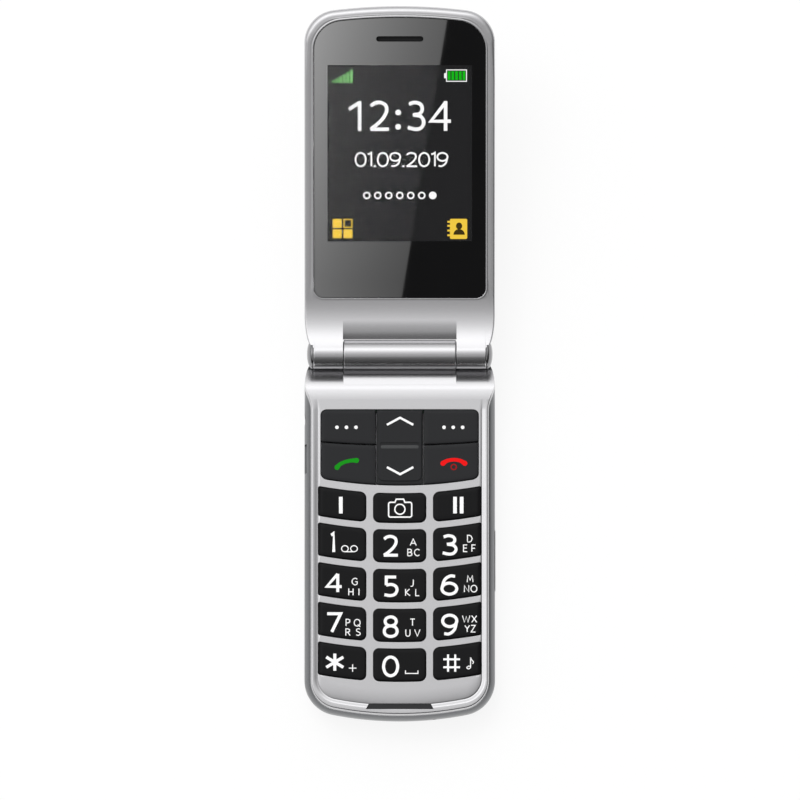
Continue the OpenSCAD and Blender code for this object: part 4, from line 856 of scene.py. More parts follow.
def lens_border():
    """The printed part of the lens: its plate with a softened edge, less the clear window and
    the earpiece slot."""
    plate = loft([at_height(half_outline(LENS_SHAPE), FACE - 0.8)]
                 + [at_height(half_outline(LENS_SHAPE, w), FACE - z)
                    for z, w in quarter(0.1, 0.14, 4)[::-1]])
    return combined(plate, [screen_block(0, FACE - 2, FACE + 1),
                            slot_bar(0, SEAT - 0.5, FACE + 0.01, 0.15)], "DIFFERENCE")


# ---- Keys ----


def key_cap(plan, bevel, fall=0.0, straight=FLANGE_Z + 0.5, foot=None):
    """A key's cap: an upright skirt, a bevel that rounds over as a quarter of an ellipse, a
    faintly pillowed top, and beside the rim a fall of the top with the square of the reach."""
    rings = [] if foot is None else [at_height(foot, FLANGE_Z), at_height(foot, FLANGE_Z + 0.5)]
    rings.append(at_height(plan(0), straight))
    for t in np.linspace(0, math.pi / 2, 7):
        rings.append((plan(-bevel * (1 - math.cos(t))), KEY_TOP - 0.07 - bevel * (1 - math.sin(t))))
    for inset, rise in ((0.25, 0.035), (0.55, 0.06), (1.0, 0.07)):
        rings.append((plan(-bevel - inset), KEY_TOP - 0.07 + rise))
    level = [r if isinstance(r, np.ndarray) else at_height(
        r[0], r[1] - fall * np.clip((np.abs(r[0][:, 0]) - 20.9) / 1.4, 0, 1) ** 2) for r in rings]
    return loft(level)


# ---- Materials ----


def linear(code, alpha=1.0):
    """An sRGB hex value as linear red, green and blue: below 0.04045 the value over 12.92, above
    it the 2.4th power of the value plus 0.055 over 1.055."""
    v = np.array([int(code[i:i + 2], 16) for i in (1, 3, 5)]) / 255
    rgb = np.where(v <= 0.04045, v / 12.92, ((v + 0.055) / 1.055) ** 2.4)
    return (*rgb.tolist(), alpha)


def add(tree, kind, inputs=None, **settings):
    """Adds a node: settings are its own properties, and each input is a value or a socket."""
    made = tree.nodes.new(kind)
    for key, value in settings.items():
        setattr(made, key, value)
    for key, value in (inputs or {}).items():
        if isinstance(value, bpy.types.NodeSocket):
            tree.links.new(value, made.inputs[key])
        else:
            made.inputs[key].default_value = value
    return made


def finish_of(name, code, **sockets):
    """A material with a Principled surface whose unlinked sockets are set to constants."""
    material = bpy.data.materials.new(name)
    material.use_nodes = True
    tree = material.node_tree
    surface = next(n for n in tree.nodes if n.type == "BSDF_PRINCIPLED")
    surface.inputs["Base Color"].default_value = linear(code)
    for key, value in sockets.items():
        surface.inputs[key.replace("_", " ")].default_value = value
    material.diffuse_color = linear(code)
    return material, tree, surface


def speckle(tree, surface, codes, grain, roughness, bump=0.0):
    """Colour, roughness and bump from one noise: grain is the size of its spots in metres, codes
    are the two colours that it mixes, and roughness its two limits."""
    place = add(tree, "ShaderNodeTexCoord").outputs["Object"]
    noise = add(tree, "ShaderNodeTexNoise", {"Vector": place, "Scale": 1 / grain, "Detail": 2.0})
    ramp = add(tree, "ShaderNodeMapRange", {0: noise.outputs["Fac"], 1: 0.3, 2: 0.7})
    mix = add(tree, "ShaderNodeMix", {0: ramp.outputs[0], 6: linear(codes[0]), 7: linear(codes[1])},
              data_type="RGBA")
    tree.links.new(mix.outputs[2], surface.inputs["Base Color"])
    rough = add(tree, "ShaderNodeMapRange", {0: ramp.outputs[0], 3: roughness[0], 4: roughness[1]})
    tree.links.new(rough.outputs[0], surface.inputs["Roughness"])
    if bump:
        relief = add(tree, "ShaderNodeBump", {"Strength": 1.0, "Distance": bump,
                                              "Height": noise.outputs["Fac"]})
        tree.links.new(relief.outputs[0], surface.inputs["Normal"])


def mottled(name, code, codes, roughness, grain, bump=0.0, **sockets):
    """A finish about one colour, whose tone, gloss and relief vary in spots of one grain."""
    material, tree, surface = finish_of(name, code, **sockets)
    speckle(tree, surface, codes, grain, roughness, bump)
    return material


def lacquer(name, codes, metallic, roughness, **sockets):
    """Metallic lacquer: aluminium flakes of 15 to 40 um in a clear binder, too fine to show, so
    they are drawn as spots of 0.12 mm that shift the tone and the gloss a little."""
    return mottled(name, codes[0], codes, roughness, 0.12 * MM, Metallic=metallic, **sockets)


@cache
def silver_lacquer():
    # Silver metallic lacquer sprayed on moulded ABS: a bright satin metal look whose broad
    # highlights run along every curve, under a thin clear coat
    return lacquer("silver_metallic_lacquer", ("#c8c8ca", "#cbcacc"), 0.96, (0.2, 0.22),
                   Coat_Weight=0.25, Coat_Roughness=0.12)


def grey_lacquer():
    # The same lacquer in a darker grey on the moulded ABS back shell
    return lacquer("grey_metallic_lacquer", ("#727375", "#797a7c"), 0.9, (0.31, 0.35),
                   Coat_Weight=0.2, Coat_Roughness=0.15)


def polished_caps():
    # Bright nickel plating on moulded ABS: a mirror-like metal with a slight orange peel
    return mottled("bright_nickel_plating", "#8f8f91", ("#8d8d8f", "#939394"), (0.14, 0.18),
                   0.8 * MM, 0.002 * MM, Metallic=1.0)


def piano_black():
    # High-gloss black ABS from a polished mould: a deep black with sharp reflections
    return mottled("gloss_black_abs", "#101114", ("#0e0f12", "#131417"), (0.05, 0.075), 12 * MM,
                   IOR=1.53)


def textured_black():
    # ABS with a spark-eroded grain of about 0.15 mm, drawn at 0.22 mm: a dry satin black that
    # feels grippy
    return mottled("spark_eroded_black_abs", "#191a1c", ("#151618", "#202123"), (0.42, 0.6),
                   0.22 * MM, 0.03 * MM, IOR=1.53)


def rubber():
    # Moulded TPE: a soft dark grey without gloss, with the fine bloom of a matt mould. On the
    # insert at the foot its near-black is also painted shade of the recess it sits in
    return mottled("matt_black_tpe_painted_shade", "#1b1c1e", ("#17181a", "#1f2022"), (0.6, 0.75), 0.3 * MM,
                   0.01 * MM, IOR=1.52)


@cache
def key_plastic(name, codes, roughness=(0.34, 0.42)):
    """Moulded polycarbonate keys with a satin varnish: nearly black, with a soft sheen and a
    mould grain of 0.1 mm, drawn at 0.2 mm to show."""
    return mottled(name, codes[0], codes, roughness, 0.2 * MM, 0.003 * MM, IOR=1.5,
                   Specular_IOR_Level=0.1)


def navigation_plastic():
    """The navigation keys' plastic, which the volume key shares."""
    return key_plastic("varnished_navigation_keys", ("#252627", "#29292b"))


def black_print():
    # Acrylic lens with a black screen print on its back: glass-smooth, deeper than the shell
    return mottled("printed_acrylic_lens", "#040405", ("#030304", "#050506"), (0.012, 0.016),
                   9 * MM, IOR=1.49, Specular_IOR_Level=0.16)


def clear_window():
    # The clear part of the same acrylic lens: it shows the display under a weaker reflection
    return mottled("clear_acrylic_lens", "#050506", ("#040405", "#060607"), (0.012, 0.016), 9 * MM,
                   IOR=1.49, Alpha=0.105, Specular_IOR_Level=0.16)


def lit(name, code, strength):
    """A lit part of the display: its own light at one strength, over a dull dark sheet."""
    material, tree, surface = finish_of(name, code, Roughness=0.4, Specular_IOR_Level=0.08)
    surface.inputs["Base Color"].default_value = linear("#0a0a0b")
    place = add(tree, "ShaderNodeTexCoord").outputs["Object"]
    # Pixels of 0.2 mm, whose dark grid is drawn faint: it is finer than the eye sees
    grid = add(tree, "ShaderNodeTexChecker", {"Vector": place, "Color1": linear(code), "Color2":
               tuple(0.965 * v for v in linear(code)[:3]) + (1,), "Scale": 1 / (0.2 * MM)})
    tree.links.new(grid.outputs["Color"], surface.inputs["Emission Color"])
    surface.inputs["Emission Strength"].default_value = strength
    return material


@cache
def printed(name, codes):
    """Ink printed on a key in a layer of about 15 um: flat, even and nearly matt, with the
    faint mottle of a screen print at 0.25 mm."""
    return mottled(name, codes[0], codes, (0.45, 0.55), 0.25 * MM, IOR=1.5, Specular_IOR_Level=0.08)


def key_ink(colours):
    """The white ink of the digits, letters and signs."""
    return printed("white_key_print", (colours.ink, "#ebebeb"))


def metal(name, codes, roughness, grain):
    """Bare sheet metal with the brush or rolling marks of its making: a noise stretched 12 times
    along the width of the phone, whose finest lines are grain wide."""
    material, tree, surface = finish_of(name, codes[0], Metallic=1.0)
    place = add(tree, "ShaderNodeTexCoord").outputs["Object"]
    drawn = add(tree, "ShaderNodeMapping", {"Vector": place, "Scale": (1 / 12, 1, 1)})
    noise = add(tree, "ShaderNodeTexNoise", {"Vector": drawn.outputs[0], "Scale": 1 / grain,
                                             "Detail": 3.0})
    mix = add(tree, "ShaderNodeMix", {0: noise.outputs["Fac"], 6: linear(codes[0]),
                                      7: linear(codes[1])}, data_type="RGBA")
    rough = add(tree, "ShaderNodeMapRange", {0: noise.outputs["Fac"], 3: roughness[0],
                                             4: roughness[1]})
    tree.links.new(mix.outputs[2], surface.inputs["Base Color"])
    tree.links.new(rough.outputs[0], surface.inputs["Roughness"])
    return material


def circuit_board():
    """Glass-epoxy board under green solder resist: copper tracks show as paler lines, about
    0.5 mm apart, cut from a brick pattern, and tinned pads as bright spots every 2.5 mm."""
    material, tree, surface = finish_of("green_solder_resist_board", "#1f5a3c", IOR=1.55)
    place = add(tree, "ShaderNodeTexCoord").outputs["Object"]
    tracks = add(tree, "ShaderNodeTexBrick", {
        "Vector": place, "Scale": 1 / (2.4 * MM), "Color1": linear("#1c5236"),
        "Color2": linear("#215c3f"), "Mortar": linear("#3a7d58"), "Mortar Size": 0.03,
        "Brick Width": 1.0, "Row Height": 0.25})
    pads = add(tree, "ShaderNodeTexVoronoi", {"Vector": place, "Scale": 1 / (2.5 * MM)})
    spot = add(tree, "ShaderNodeMapRange", {0: pads.outputs["Distance"], 1: 0.16, 2: 0.2, 3: 1.0,
                                            4: 0.0})
    mix = add(tree, "ShaderNodeMix", {0: spot.outputs[0], 6: tracks.outputs["Color"],
                                      7: linear("#b9b7ae")}, data_type="RGBA")
    tree.links.new(mix.outputs[2], surface.inputs["Base Color"])
    surface.inputs["Roughness"].default_value = 0.35
    return material


def woven_mesh():
    """Woven steel gauze over the earpiece: wires 0.1 mm apart, drawn 0.35 mm apart to show, as
    two wave patterns at right angles whose crests are bright."""
    material, tree, surface = finish_of("woven_steel_gauze", "#0c0c0d", Metallic=0.3, Roughness=0.6)
    place = add(tree, "ShaderNodeTexCoord").outputs["Object"]
    lines = [add(tree, "ShaderNodeTexWave", {"Vector": place, "Scale": 0.314 / (0.35 * MM)},
                 bands_direction=d) for d in ("X", "Y")]
    crest = add(tree, "ShaderNodeMath", {0: lines[0].outputs["Fac"], 1: lines[1].outputs["Fac"]},
                operation="MAXIMUM")
    mix = add(tree, "ShaderNodeMix", {0: crest.outputs[0], 6: linear("#040404"),
                                      7: linear("#1b1b1c")}, data_type="RGBA")
    tree.links.new(mix.outputs[2], surface.inputs["Base Color"])
    return material


def plain(name, codes, roughness, grain, bump=0.0, **sockets):
    """A moulded or coated finish with a fine mottle."""
    return mottled(name, codes[0], codes, roughness, grain, bump, **sockets)


def node_finishes():
    """The finish of every CAD node that shows or lies inside, by its own name."""
    # Stamped stainless steel: cool grey with fine rolling marks
    steel = metal("stamped_stainless_steel", ("#a9aaac", "#c4c5c7"), (0.25, 0.4), 0.15 * MM)
    # Zinc-plated case-hardened steel screws: brighter and a little smoother
    zinc = metal("zinc_plated_screw_steel", ("#b5b6b2", "#d0d1cd"), (0.22, 0.35), 0.2 * MM)
    # Gold-plated beryllium copper springs in a black carrier
    gold = metal("gold_plated_spring_copper", ("#c9a24f", "#e0bd6c"), (0.2, 0.32), 0.1 * MM)
    board = circuit_board()
    # Glass-filled nylon and LCP mouldings of the small components: matt black with pale flecks
    component = plain("glass_filled_nylon", ("#202124", "#2d2e31"), (0.45, 0.6), 0.25 * MM,
                      0.01 * MM)
    # Liquid silicone rubber of the key mat: milky, translucent-looking and dull
    silicone = plain("milky_silicone_rubber", ("#b9bbbd", "#c6c8ca"), (0.5, 0.6), 0.6 * MM)
    # Polyimide film with copper tracks: amber and glossy
    ribbon = plain("amber_polyimide_film", ("#b8691f", "#cb7d2d"), (0.25, 0.35), 0.5 * MM)
    # Printed PVC wrap around the lithium cell: a smooth dark grey sleeve
    wrap = plain("pvc_battery_wrap", ("#33363b", "#3c3f45"), (0.35, 0.45), 3 * MM)
    # Coated glass over the camera: nearly black with a violet-tinged mirror gloss
    glass = plain("coated_camera_glass", ("#08070c", "#0d0b13"), (0.02, 0.04), 4 * MM, IOR=1.52)
    # The switched-on liquid crystal panel with an all-black picture: dark, evenly backlit
    panel = lit("backlit_dark_display", "#232324", 1.0)
    return {
        "display_module": panel, "display_plate": steel, "lid_magnet": zinc, "lid_screws": zinc,
        "hinge_cartridge": steel, "hinge_shaft": steel, "hinge_tube": steel, "dome_sheet": steel,
        "vibration_motor": steel, "sim_holder": steel, "usb_socket": steel, "body_screws": zinc,
        "earpiece_speaker": component, "camera_module": component, "loudspeaker": component,
        "microphone": component, "antenna": component, "headset_jack": component,
        "lid_board": board, "main_board": board, "earpiece_mesh": woven_mesh(),
        "camera_window": glass, "hinge_ribbon": ribbon, "battery": wrap, "battery_contacts": gold,
        "keypad_mat": silicone,
    }


# ---- Settings, operators and panel ----


class PhoneSizes(bpy.types.PropertyGroup):
    """Sizes that a user may change."""

    key_bevel: bpy.props.FloatProperty(
        name="Key bevel", description="Width of the rounded edge of every key", default=0.34 * MM,
        min=0.1 * MM, max=0.5 * MM, precision=5, unit="LENGTH")
    opening_lip: bpy.props.FloatProperty(
        name="Opening lip", description="Radius of the rounded edge of the key openings",
        default=0.16 * MM, min=0.05 * MM, max=0.3 * MM, precision=5, unit="LENGTH")
    digit_stroke: bpy.props.FloatProperty(
        name="Digit stroke", description="Width of the strokes of the digits", default=0.82 * MM,
        min=0.4 * MM, max=1.2 * MM, precision=5, unit="LENGTH")
    letter_stroke: bpy.props.FloatProperty(
        name="Letter stroke", description="Width of the strokes of the small letters",
        default=0.26 * MM, min=0.15 * MM, max=0.45 * MM, precision=5, unit="LENGTH")


class PhoneColours(bpy.types.PropertyGroup):
    """Colours of the lit and printed marks that a user may change."""

    call: bpy.props.StringProperty(
        name="Call mark", description="sRGB hex colour of the call key's mark", default="#158b17")
    end: bpy.props.StringProperty(
        name="End mark", description="sRGB hex colour of the end key's mark", default="#e31414")
    ink: bpy.props.StringProperty(
        name="Key print", description="sRGB hex colour of the digits and letters",
        default="#f4f4f4")


class DressKeypadShell(bpy.types.Operator):
    """Builds the front frame, the side shell, the foot insert and the battery cover."""

    bl_idname = "flip_phone.keypad_shell"
    bl_label = "Keypad shell"

    def execute(self, context):
        lip = context.scene.phone_sizes.opening_lip / MM
        add_piece("keypad_frame", keypad_frame(lip), in_keypad, "base", silver_lacquer(),
                  ["front_housing"])
        add_piece("side_shell", side_shell(), in_keypad, "base", grey_lacquer(),
                  ["rear_housing"])
        # The insert at the foot is a near-black piece in its recess, and its dark is partly painted
        # shade of that recess
        grip = foot_bar(-0.02, 10.06, 10.62, ((0, 0), (0.7, 0), (0.92, 0.07), (1, 0.2)))
        add_piece("foot_grip", grip, in_keypad, "base", rubber(), ["foot_insert"])
        add_piece("battery_door", battery_door(), in_keypad, "base", textured_black(),
                  ["battery_cover"])
        return {"FINISHED"}


class DressLid(bpy.types.Operator):
    """Builds the lid's inner frame, its outer cover and the caps of the hinge."""

    bl_idname = "flip_phone.lid"
    bl_label = "Lid shells"

    def execute(self, context):
        add_piece("lid_frame", lid_frame(), in_lid, "lid", silver_lacquer(),
                  ["lid_inner_housing"])
        add_piece("lid_cover", lid_cover(), in_lid, "lid", piano_black(),
                  ["lid_outer_cover"])
        cap = end_cap()
        add_piece("knuckle_caps", joined(cap, mirrored(cap)), in_lid, "lid", polished_caps(),
                  ["hinge_end_caps"])
        return {"FINISHED"}


class DressDisplay(bpy.types.Operator):
    """Builds the printed lens with its clear window and the picture on the display."""

    bl_idname = "flip_phone.display"
    bl_label = "Display"

    def execute(self, context):
        add_piece("lens_border", lens_border(), in_lid, "lid", black_print(),
                  ["display_lens"])
        add_piece("lens_window", screen_block(-0.01, FACE - 0.8, FACE), in_lid, "lid",
                  clear_window())
        z = INNER - 0.1
        white = lit("display_white", "#ffffff", 1.22)

        def show(name, material, *shapes):
            add_piece(name, joined(*shapes), in_lid, "lid", material)

        def write(text, x0, x1, top, foot, weight):
            """Digits and points, set apart evenly between x0 and x1."""
            widths = [GLYPHS[c][0] if c in GLYPHS else 0.16 for c in text]
            size, side = top - foot - weight, weight * 1.16
            total = sum(widths) * size + weight * len(text)
            gap = (x1 - x0 - total) / (len(text) - 1)
            x, shapes = x0, []
            for c, w in zip(text, widths):
                step = w * size + weight
                shapes.append(mark(c, (x, x + step, top, foot), weight, z, 1) if c in GLYPHS else
                              bar(x + (step - side) / 2, foot + (weight - side) / 2, side, side, z))
                x += step + gap
            return shapes

        clock = [mark(c, (x0, x1, 69.45, 61.1), 0.98, z, 1) for c, x0, x1 in (
            ("tall 1", -14.07, -10.17), ("2", -8.64, -2.46), ("3", 1.6, 7.11),
            ("tall 4", 7.82, 14.43))]
        clock += [dot(-0.43, y, 0.78, z) for y in (66.2, 62.26)]
        show("clock_digits", white, *clock)
        show("date_digits", white, *write("01.09.2019", -12.35, 13.31, 55.33, 51.18, 0.48))
        days = np.linspace(-9.0, 9.0, 7)
        show("week_dots", white, *[lined(oval(x, 43.4, 0.82, 0.82), 0.42, z) for x in days[:-1]],
             dot(days[-1], 43.4, 1.05, z))
        heights = (0.62, 1.15, 1.7, 2.3, 2.95, 3.64)
        show("signal_bars", lit("display_signal_green", "#86d47c", 1.1),
             *[bar(x, 74.36, 0.66, h, z) for x, h in zip(np.linspace(-18.4, -13.5, 6), heights)])
        cell = np.array([(12.75, 74.75), (18.2, 74.75), (18.2, 77.88), (12.75, 77.88)])
        show("battery_outline", white, lined(cell, 0.24, z), bar(12.1, 75.6, 0.5, 1.4, z))
        show("battery_cells", lit("display_battery_green", "#0fc012", 1.1),
             *[bar(x, 75.1, 0.72, 2.43, z) for x in np.linspace(13.1, 17.15, 5)])
        yellow = lit("display_yellow", "#fbd245", 1.14)
        tiles = [filled(bar_plan(x, x + 2.45, y, y + 2.45, 0.3), z)
                 for x, y in ((-18.3, 34.5), (-18.3, 31.65), (-15.35, 31.65))]
        hollow = np.array([(-15.2, 34.65), (-13.05, 34.65), (-13.05, 36.8), (-15.2, 36.8)])
        show("menu_tiles", yellow, *tiles, lined(hollow, 0.3, z))
        tabs = [block(13.0, 14.1, y, y + 0.5, z - 0.025, z + 0.025)
                for y in (32.2, 33.5, 34.8, 35.9)]
        show("contacts_book", yellow, filled(bar_plan(13.7, 18.41, 31.43, 36.97, 0.4), z), *tabs)
        show("contacts_figure", lit("display_dark_figure", "#4a3c14", 0.8),
             *[prism(outline, z - 0.02, z + 0.04) for outline in (
                 oval(16.2, 35.0, 0.85, 0.95), arc(16.2, 32.6, 1.55, 0, 180, 14))])
        return {"FINISHED"}


class DressNavigation(bpy.types.Operator):
    """Builds the soft keys, the call and end keys and the rocker between them."""

    bl_idname = "flip_phone.navigation"
    bl_label = "Navigation keys"

    def execute(self, context):
        bevel = context.scene.phone_sizes.key_bevel / MM
        satin = navigation_plastic()
        upper, lower = (NAV_TOP, NAV_SPLIT - KEY_GAP), (NAV_SPLIT + KEY_GAP, NAV_BOTTOM)
        for name, side, (y0, y1), radii in (
                ("soft_key_left", -1, upper, [TIGHT, CORNER, TIGHT, TIGHT]),
                ("soft_key_right", 1, upper, [TIGHT, CORNER, TIGHT, TIGHT]),
                ("call_key", -1, lower, [TIGHT, TIGHT, CORNER, TIGHT]),
                ("end_key", 1, lower, [TIGHT, TIGHT, CORNER, TIGHT])):
            cap = key_cap(lambda g, y0=y0, y1=y1, radii=radii: nav_plan(*NAV_X, y0, y1, radii, g),
                          bevel, straight=FLANGE_Z)
            add_piece(name + "_cap", cap if side > 0 else mirrored(cap), in_keypad, name + "_body",
                      satin, [name])

        # The rocker: a pad set 0.24 mm lower, a raised plate on it, a dip and a rib below
        pad = key_cap(lambda g: nav_plan(-ROCKER_X, ROCKER_X, NAV_TOP, NAV_BOTTOM, [TIGHT] * 4, g),
                      0.3, straight=FLANGE_Z)
        pad[0][pad[0][:, 2] > KEY_TOP - 0.6, 2] -= 0.24

        def plate(grow):
            return nav_plan(-5.95, 5.95, NAV_TOP + 0.35, NAV_BOTTOM - 1.0, [1.4] * 4, grow)

        steps = [at_height(plate(0), KEY_TOP - 0.6)]
        for z, w in quarter(0.22, 0.22, 5)[::-1]:
            steps.append(at_height(plate(-w), KEY_TOP - z))
        dip = prism(bar_plan(-5.3, 5.3, 24.25, 25.0, 0.3), KEY_TOP - 0.2, 12)
        rib = block(-4, 4, 25.2, 26.0, 8.8, FLANGE_Z + 0.1)
        body = combined(combined(pad, [loft(steps), rib], "UNION"), [dip], "DIFFERENCE")
        add_piece("rocker_cap", body, in_keypad, "nav_rocker_body", satin,
                  ["nav_rocker"])
        # The ridge along the rocker is a lighter grey than its keys: a painted highlight for the
        # light line that runs along it
        crest = ((0, -0.3), (0, -0.04), (0.05, 0.02), (0.14, 0.05), (0.3, 0.065))
        ridge = loft([at_height(bar_plan(-5.2 + w, 5.2 - w, 25.0 + w, 26.0 - w, 0.45 - w),
                                KEY_TOP + z) for w, z in crest])
        add_piece("rocker_ridge", ridge, in_keypad, "nav_rocker_body",
                  key_plastic("ridge_painted_highlight", ("#404142", "#464748"), (0.3, 0.36)))
        return {"FINISHED"}


NUMBER_KEYS = [
    ("memory_key_1", -1, 0), ("camera_key", 0, 0), ("memory_key_2", 1, 0), ("key_1", -1, 1),
    ("key_2", 0, 1), ("key_3", 1, 1), ("key_4", -1, 2), ("key_5", 0, 2), ("key_6", 1, 2),
    ("key_7", -1, 3), ("key_8", 0, 3), ("key_9", 1, 3), ("key_star", -1, 4), ("key_0", 0, 4),
    ("key_hash", 1, 4)]


class DressNumberKeys(bpy.types.Operator):
    """Builds the memory, camera and number keys."""

    bl_idname = "flip_phone.number_keys"
    bl_label = "Number keys"

    def execute(self, context):
        bevel = context.scene.phone_sizes.key_bevel / MM
        satin = key_plastic("varnished_number_keys", ("#111112", "#151516"))
        for name, column, row in NUMBER_KEYS:
            cap = key_cap(lambda g: number_plan(column, row, g), bevel, 0.75 if column else 0.0,
                          foot=number_plan(column, row, 0, 0.5))
            add_piece(name + "_cap", cap, in_keypad, name + "_body", satin, [name])
        return {"FINISHED"}


# Digits as (key, mark, box), and letters as (mark, middle)
DIGITS = [
    ("key_1", "1", (-19.12, -17.51, 48.78, 54.79)), ("key_2", "2", (-4.87, -0.1, 49.69, 55.67)),
    ("key_3", "3", (11.21, 15.82, 49.47, 55.36)), ("key_4", "4", (-20.46, -15.41, 59.99, 65.8)),
    ("key_5", "5", (-4.68, -0.29, 60.84, 66.76)), ("key_6", "6", (11.02, 16.01, 60.49, 66.38)),
    ("key_7", "7", (-20.19, -15.49, 70.92, 76.73)), ("key_8", "8", (-4.79, -0.15, 71.78, 78.0)),
    ("key_9", "9", (11.21, 16.01, 71.31, 77.37)), ("key_star", "*", (-20.43, -14.97, 81.88, 87.39)),
    ("key_0", "0", (-4.87, -0.1, 82.82, 88.77)), ("key_hash", "#", (11.59, 16.69, 82.24, 87.53))]
LETTERS = {
    "key_2": [("A", 3.67, 51.67), ("B", 2.72, 54.51), ("C", 4.71, 54.51)],
    "key_3": [("D", 19.07, 50.71), ("E", 17.84, 53.35), ("F", 20.11, 53.35)],
    "key_4": [("G", -12.27, 62.5), ("H", -13.31, 65.33), ("I", -11.12, 65.33)],
    "key_5": [("J", 3.34, 62.88), ("K", 2.14, 65.47), ("L", 4.79, 65.47)],
    "key_6": [("M", 19.18, 61.73), ("N", 18.22, 64.45), ("O", 20.22, 64.45)],
    "key_7": [("P", -14.16, 73.76), ("Q", -11.59, 73.81), ("R", -14.16, 76.4),
              ("S", -11.32, 76.35)],
    "key_8": [("T", 3.48, 73.7), ("U", 2.22, 76.59), ("V", 4.79, 76.59)],
    "key_9": [("W", 18.11, 72.77), ("X", 20.3, 72.77), ("Y", 18.39, 75.44), ("Z", 20.02, 75.44)]}


class PrintLegends(bpy.types.Operator):
    """Prints the digits, letters and symbols on the keys, one thin piece for each key."""

    bl_idname = "flip_phone.legends"
    bl_label = "Key legends"

    def execute(self, context):
        sizes, colours = context.scene.phone_sizes, context.scene.phone_colours
        thick, thin = sizes.digit_stroke / MM, sizes.letter_stroke / MM
        z = KEY_TOP
        marks = {key: [mark(c, box, thick * (0.67 if c == "#" else 1), z, -1)]
                 for key, c, box in DIGITS}
        for key, letters in LETTERS.items():
            marks[key] += [centred(c, x, y, 2.1, thin, z, -1) for c, x, y in letters]
        marks["key_1"].append(mark("tape", (-16.04, -11.4, 52.5, 54.43), thin, z, -1))
        marks["key_0"].append(mark("space", (1.43, 5.09, 86.76, 87.86), thin, z, -1))
        marks["key_star"].append(centred("+", -12.84, 86.26, 2.3, thin, z, -1))
        marks["key_hash"].append(mark("note", (18.0, 20.0, 83.3, 86.8), thin, z, -1))
        bars = [filled(bar_plan(x, x + 1.0, 39.2, 43.77, 0.05), z) for x in (-16.58, 14.57, 16.38)]
        marks["memory_key_1"], marks["memory_key_2"] = bars[:1], bars[1:]
        case = np.vstack((arc(-2.54, 44.28, 0.5, 180, 90, 4), arc(2.76, 44.28, 0.5, 90, 0, 4),
                          arc(2.76, 41.22, 0.5, 0, -90, 4),
                          [(1.4, 40.72), (1.05, 39.86), (-0.95, 39.86), (-1.3, 40.72)],
                          arc(-2.54, 41.22, 0.5, -90, -180, 4)))
        marks["camera_key"] = [lined(case, 0.38, z),
                               lined(oval(0.04, 42.62, 1.38, 1.38, 36), 0.36, z)]
        marks["soft_key_left"] = [dot(x, 20.09, 0.49, z) for x in (-17.13, -14.54, -11.94)]
        marks["soft_key_right"] = [dot(x, 20.09, 0.49, z) for x in (12.08, 14.59, 17.16)]
        marks["nav_rocker"] = [mark("up", (-3.8, 4.0, 17.15, 19.7), 0.6, z, -1),
                               mark("down", (-3.8, 4.0, 30.75, 33.3), 0.6, z, -1)]
        ink = key_ink(colours)
        for key, shapes in marks.items():
            add_piece(key + "_print", joined(*shapes), in_keypad, key + "_body", ink)

        # Handsets: a curve whose line swells towards both round ends
        green = printed("green_key_print", (colours.call, "#138615"))
        red = printed("red_key_print", (colours.end, "#dc1111"))
        for name, material, path in (
                ("call_key", green, [(-17.1, 31.1), (-16.3, 30.25), (-14.9, 29.6),
                                     (-13.3, 29.25), (-11.8, 29.2)]),
                ("end_key", red, [(11.8, 30.0), (12.95, 29.3), (14.75, 29.0), (16.55, 29.3),
                                  (17.75, 30.0)])):
            handset = spline(path, n=8)
            swell = 1.0 + 0.4 * np.abs(np.linspace(-1, 1, len(handset))) ** 3
            ends = [dot(*handset[i], 0.7, z, RISE + (1 + i) * LAYER) for i in (0, -1)]
            add_piece(name + "_print", joined(lined(handset, swell, z, False, 0.025), *ends),
                      in_keypad, name + "_body", material)
        add_piece("end_key_ring", lined(oval(14.73, 31.0, 0.72, 0.72), 0.3, z, True, 0.018),
                  in_keypad, "end_key_body", printed("dark_red_key_print", ("#a01012", "#94100f")))
        return {"FINISHED"}


class DressSides(bpy.types.Operator):
    """Builds the volume key on the right side, with its marks."""

    bl_idname = "flip_phone.sides"
    bl_label = "Side key"

    def execute(self, context):
        # Flange, then the cap that stands 0.09 mm proud of the wall with its rounded edge
        rings = [at_height(volume_plan(0.6), 23.15), at_height(volume_plan(0.6), 23.75),
                 at_height(volume_plan(0), 23.76)]
        rings += [at_height(volume_plan(-w), HALF_W + 0.09 - z)
                  for z, w in quarter(0.3, 0.3, 5)[::-1]]
        add_piece("volume_cap", outwards(rings), in_keypad, "volume_key_body",
                  navigation_plastic(), ["volume_key"])
        x, z = HALF_W + 0.11, (VOLUME[2] + VOLUME[3]) / 2
        signs = [block(x - 0.03, x, y - w, y + w, z - h, z + h)
                 for y, w, h in ((51, 0.8, 0.12), (51, 0.12, 0.8), (61, 0.8, 0.12))]
        add_piece("volume_print", joined(*signs), in_keypad, "volume_key_body",
                  key_ink(context.scene.phone_colours))
        return {"FINISHED"}


class DressInside(bpy.types.Operator):
    """Gives every CAD node that stays its own finish."""

    bl_idname = "flip_phone.inside"
    bl_label = "Inner parts"

    def execute(self, context):
        for name, material in node_finishes().items():
            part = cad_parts[name]
            part.data.materials.clear()
            part.data.materials.append(material)
        return {"FINISHED"}


CAMERA_UP = math.radians(7.5)       # how far the view leans from straight down, towards the foot
FRAME_WIDTH = 218.4 * MM            # what the picture takes in, at the phone
LENS_MM, SENSOR_MM = 1000.0, 36.0   # a long lens, whose view is nearly parallel
AIM = (0.068 * MM, 35.631 * MM, 9.872 * MM)
LAMP_PLACE, LAMP_SIZE, LAMP_POWER = (-0.5, 0.9, 1.5), (1.2, 0.9), 14.0
CARD_GLOW = 0.88                    # share of plain white in what the camera sees of the floor

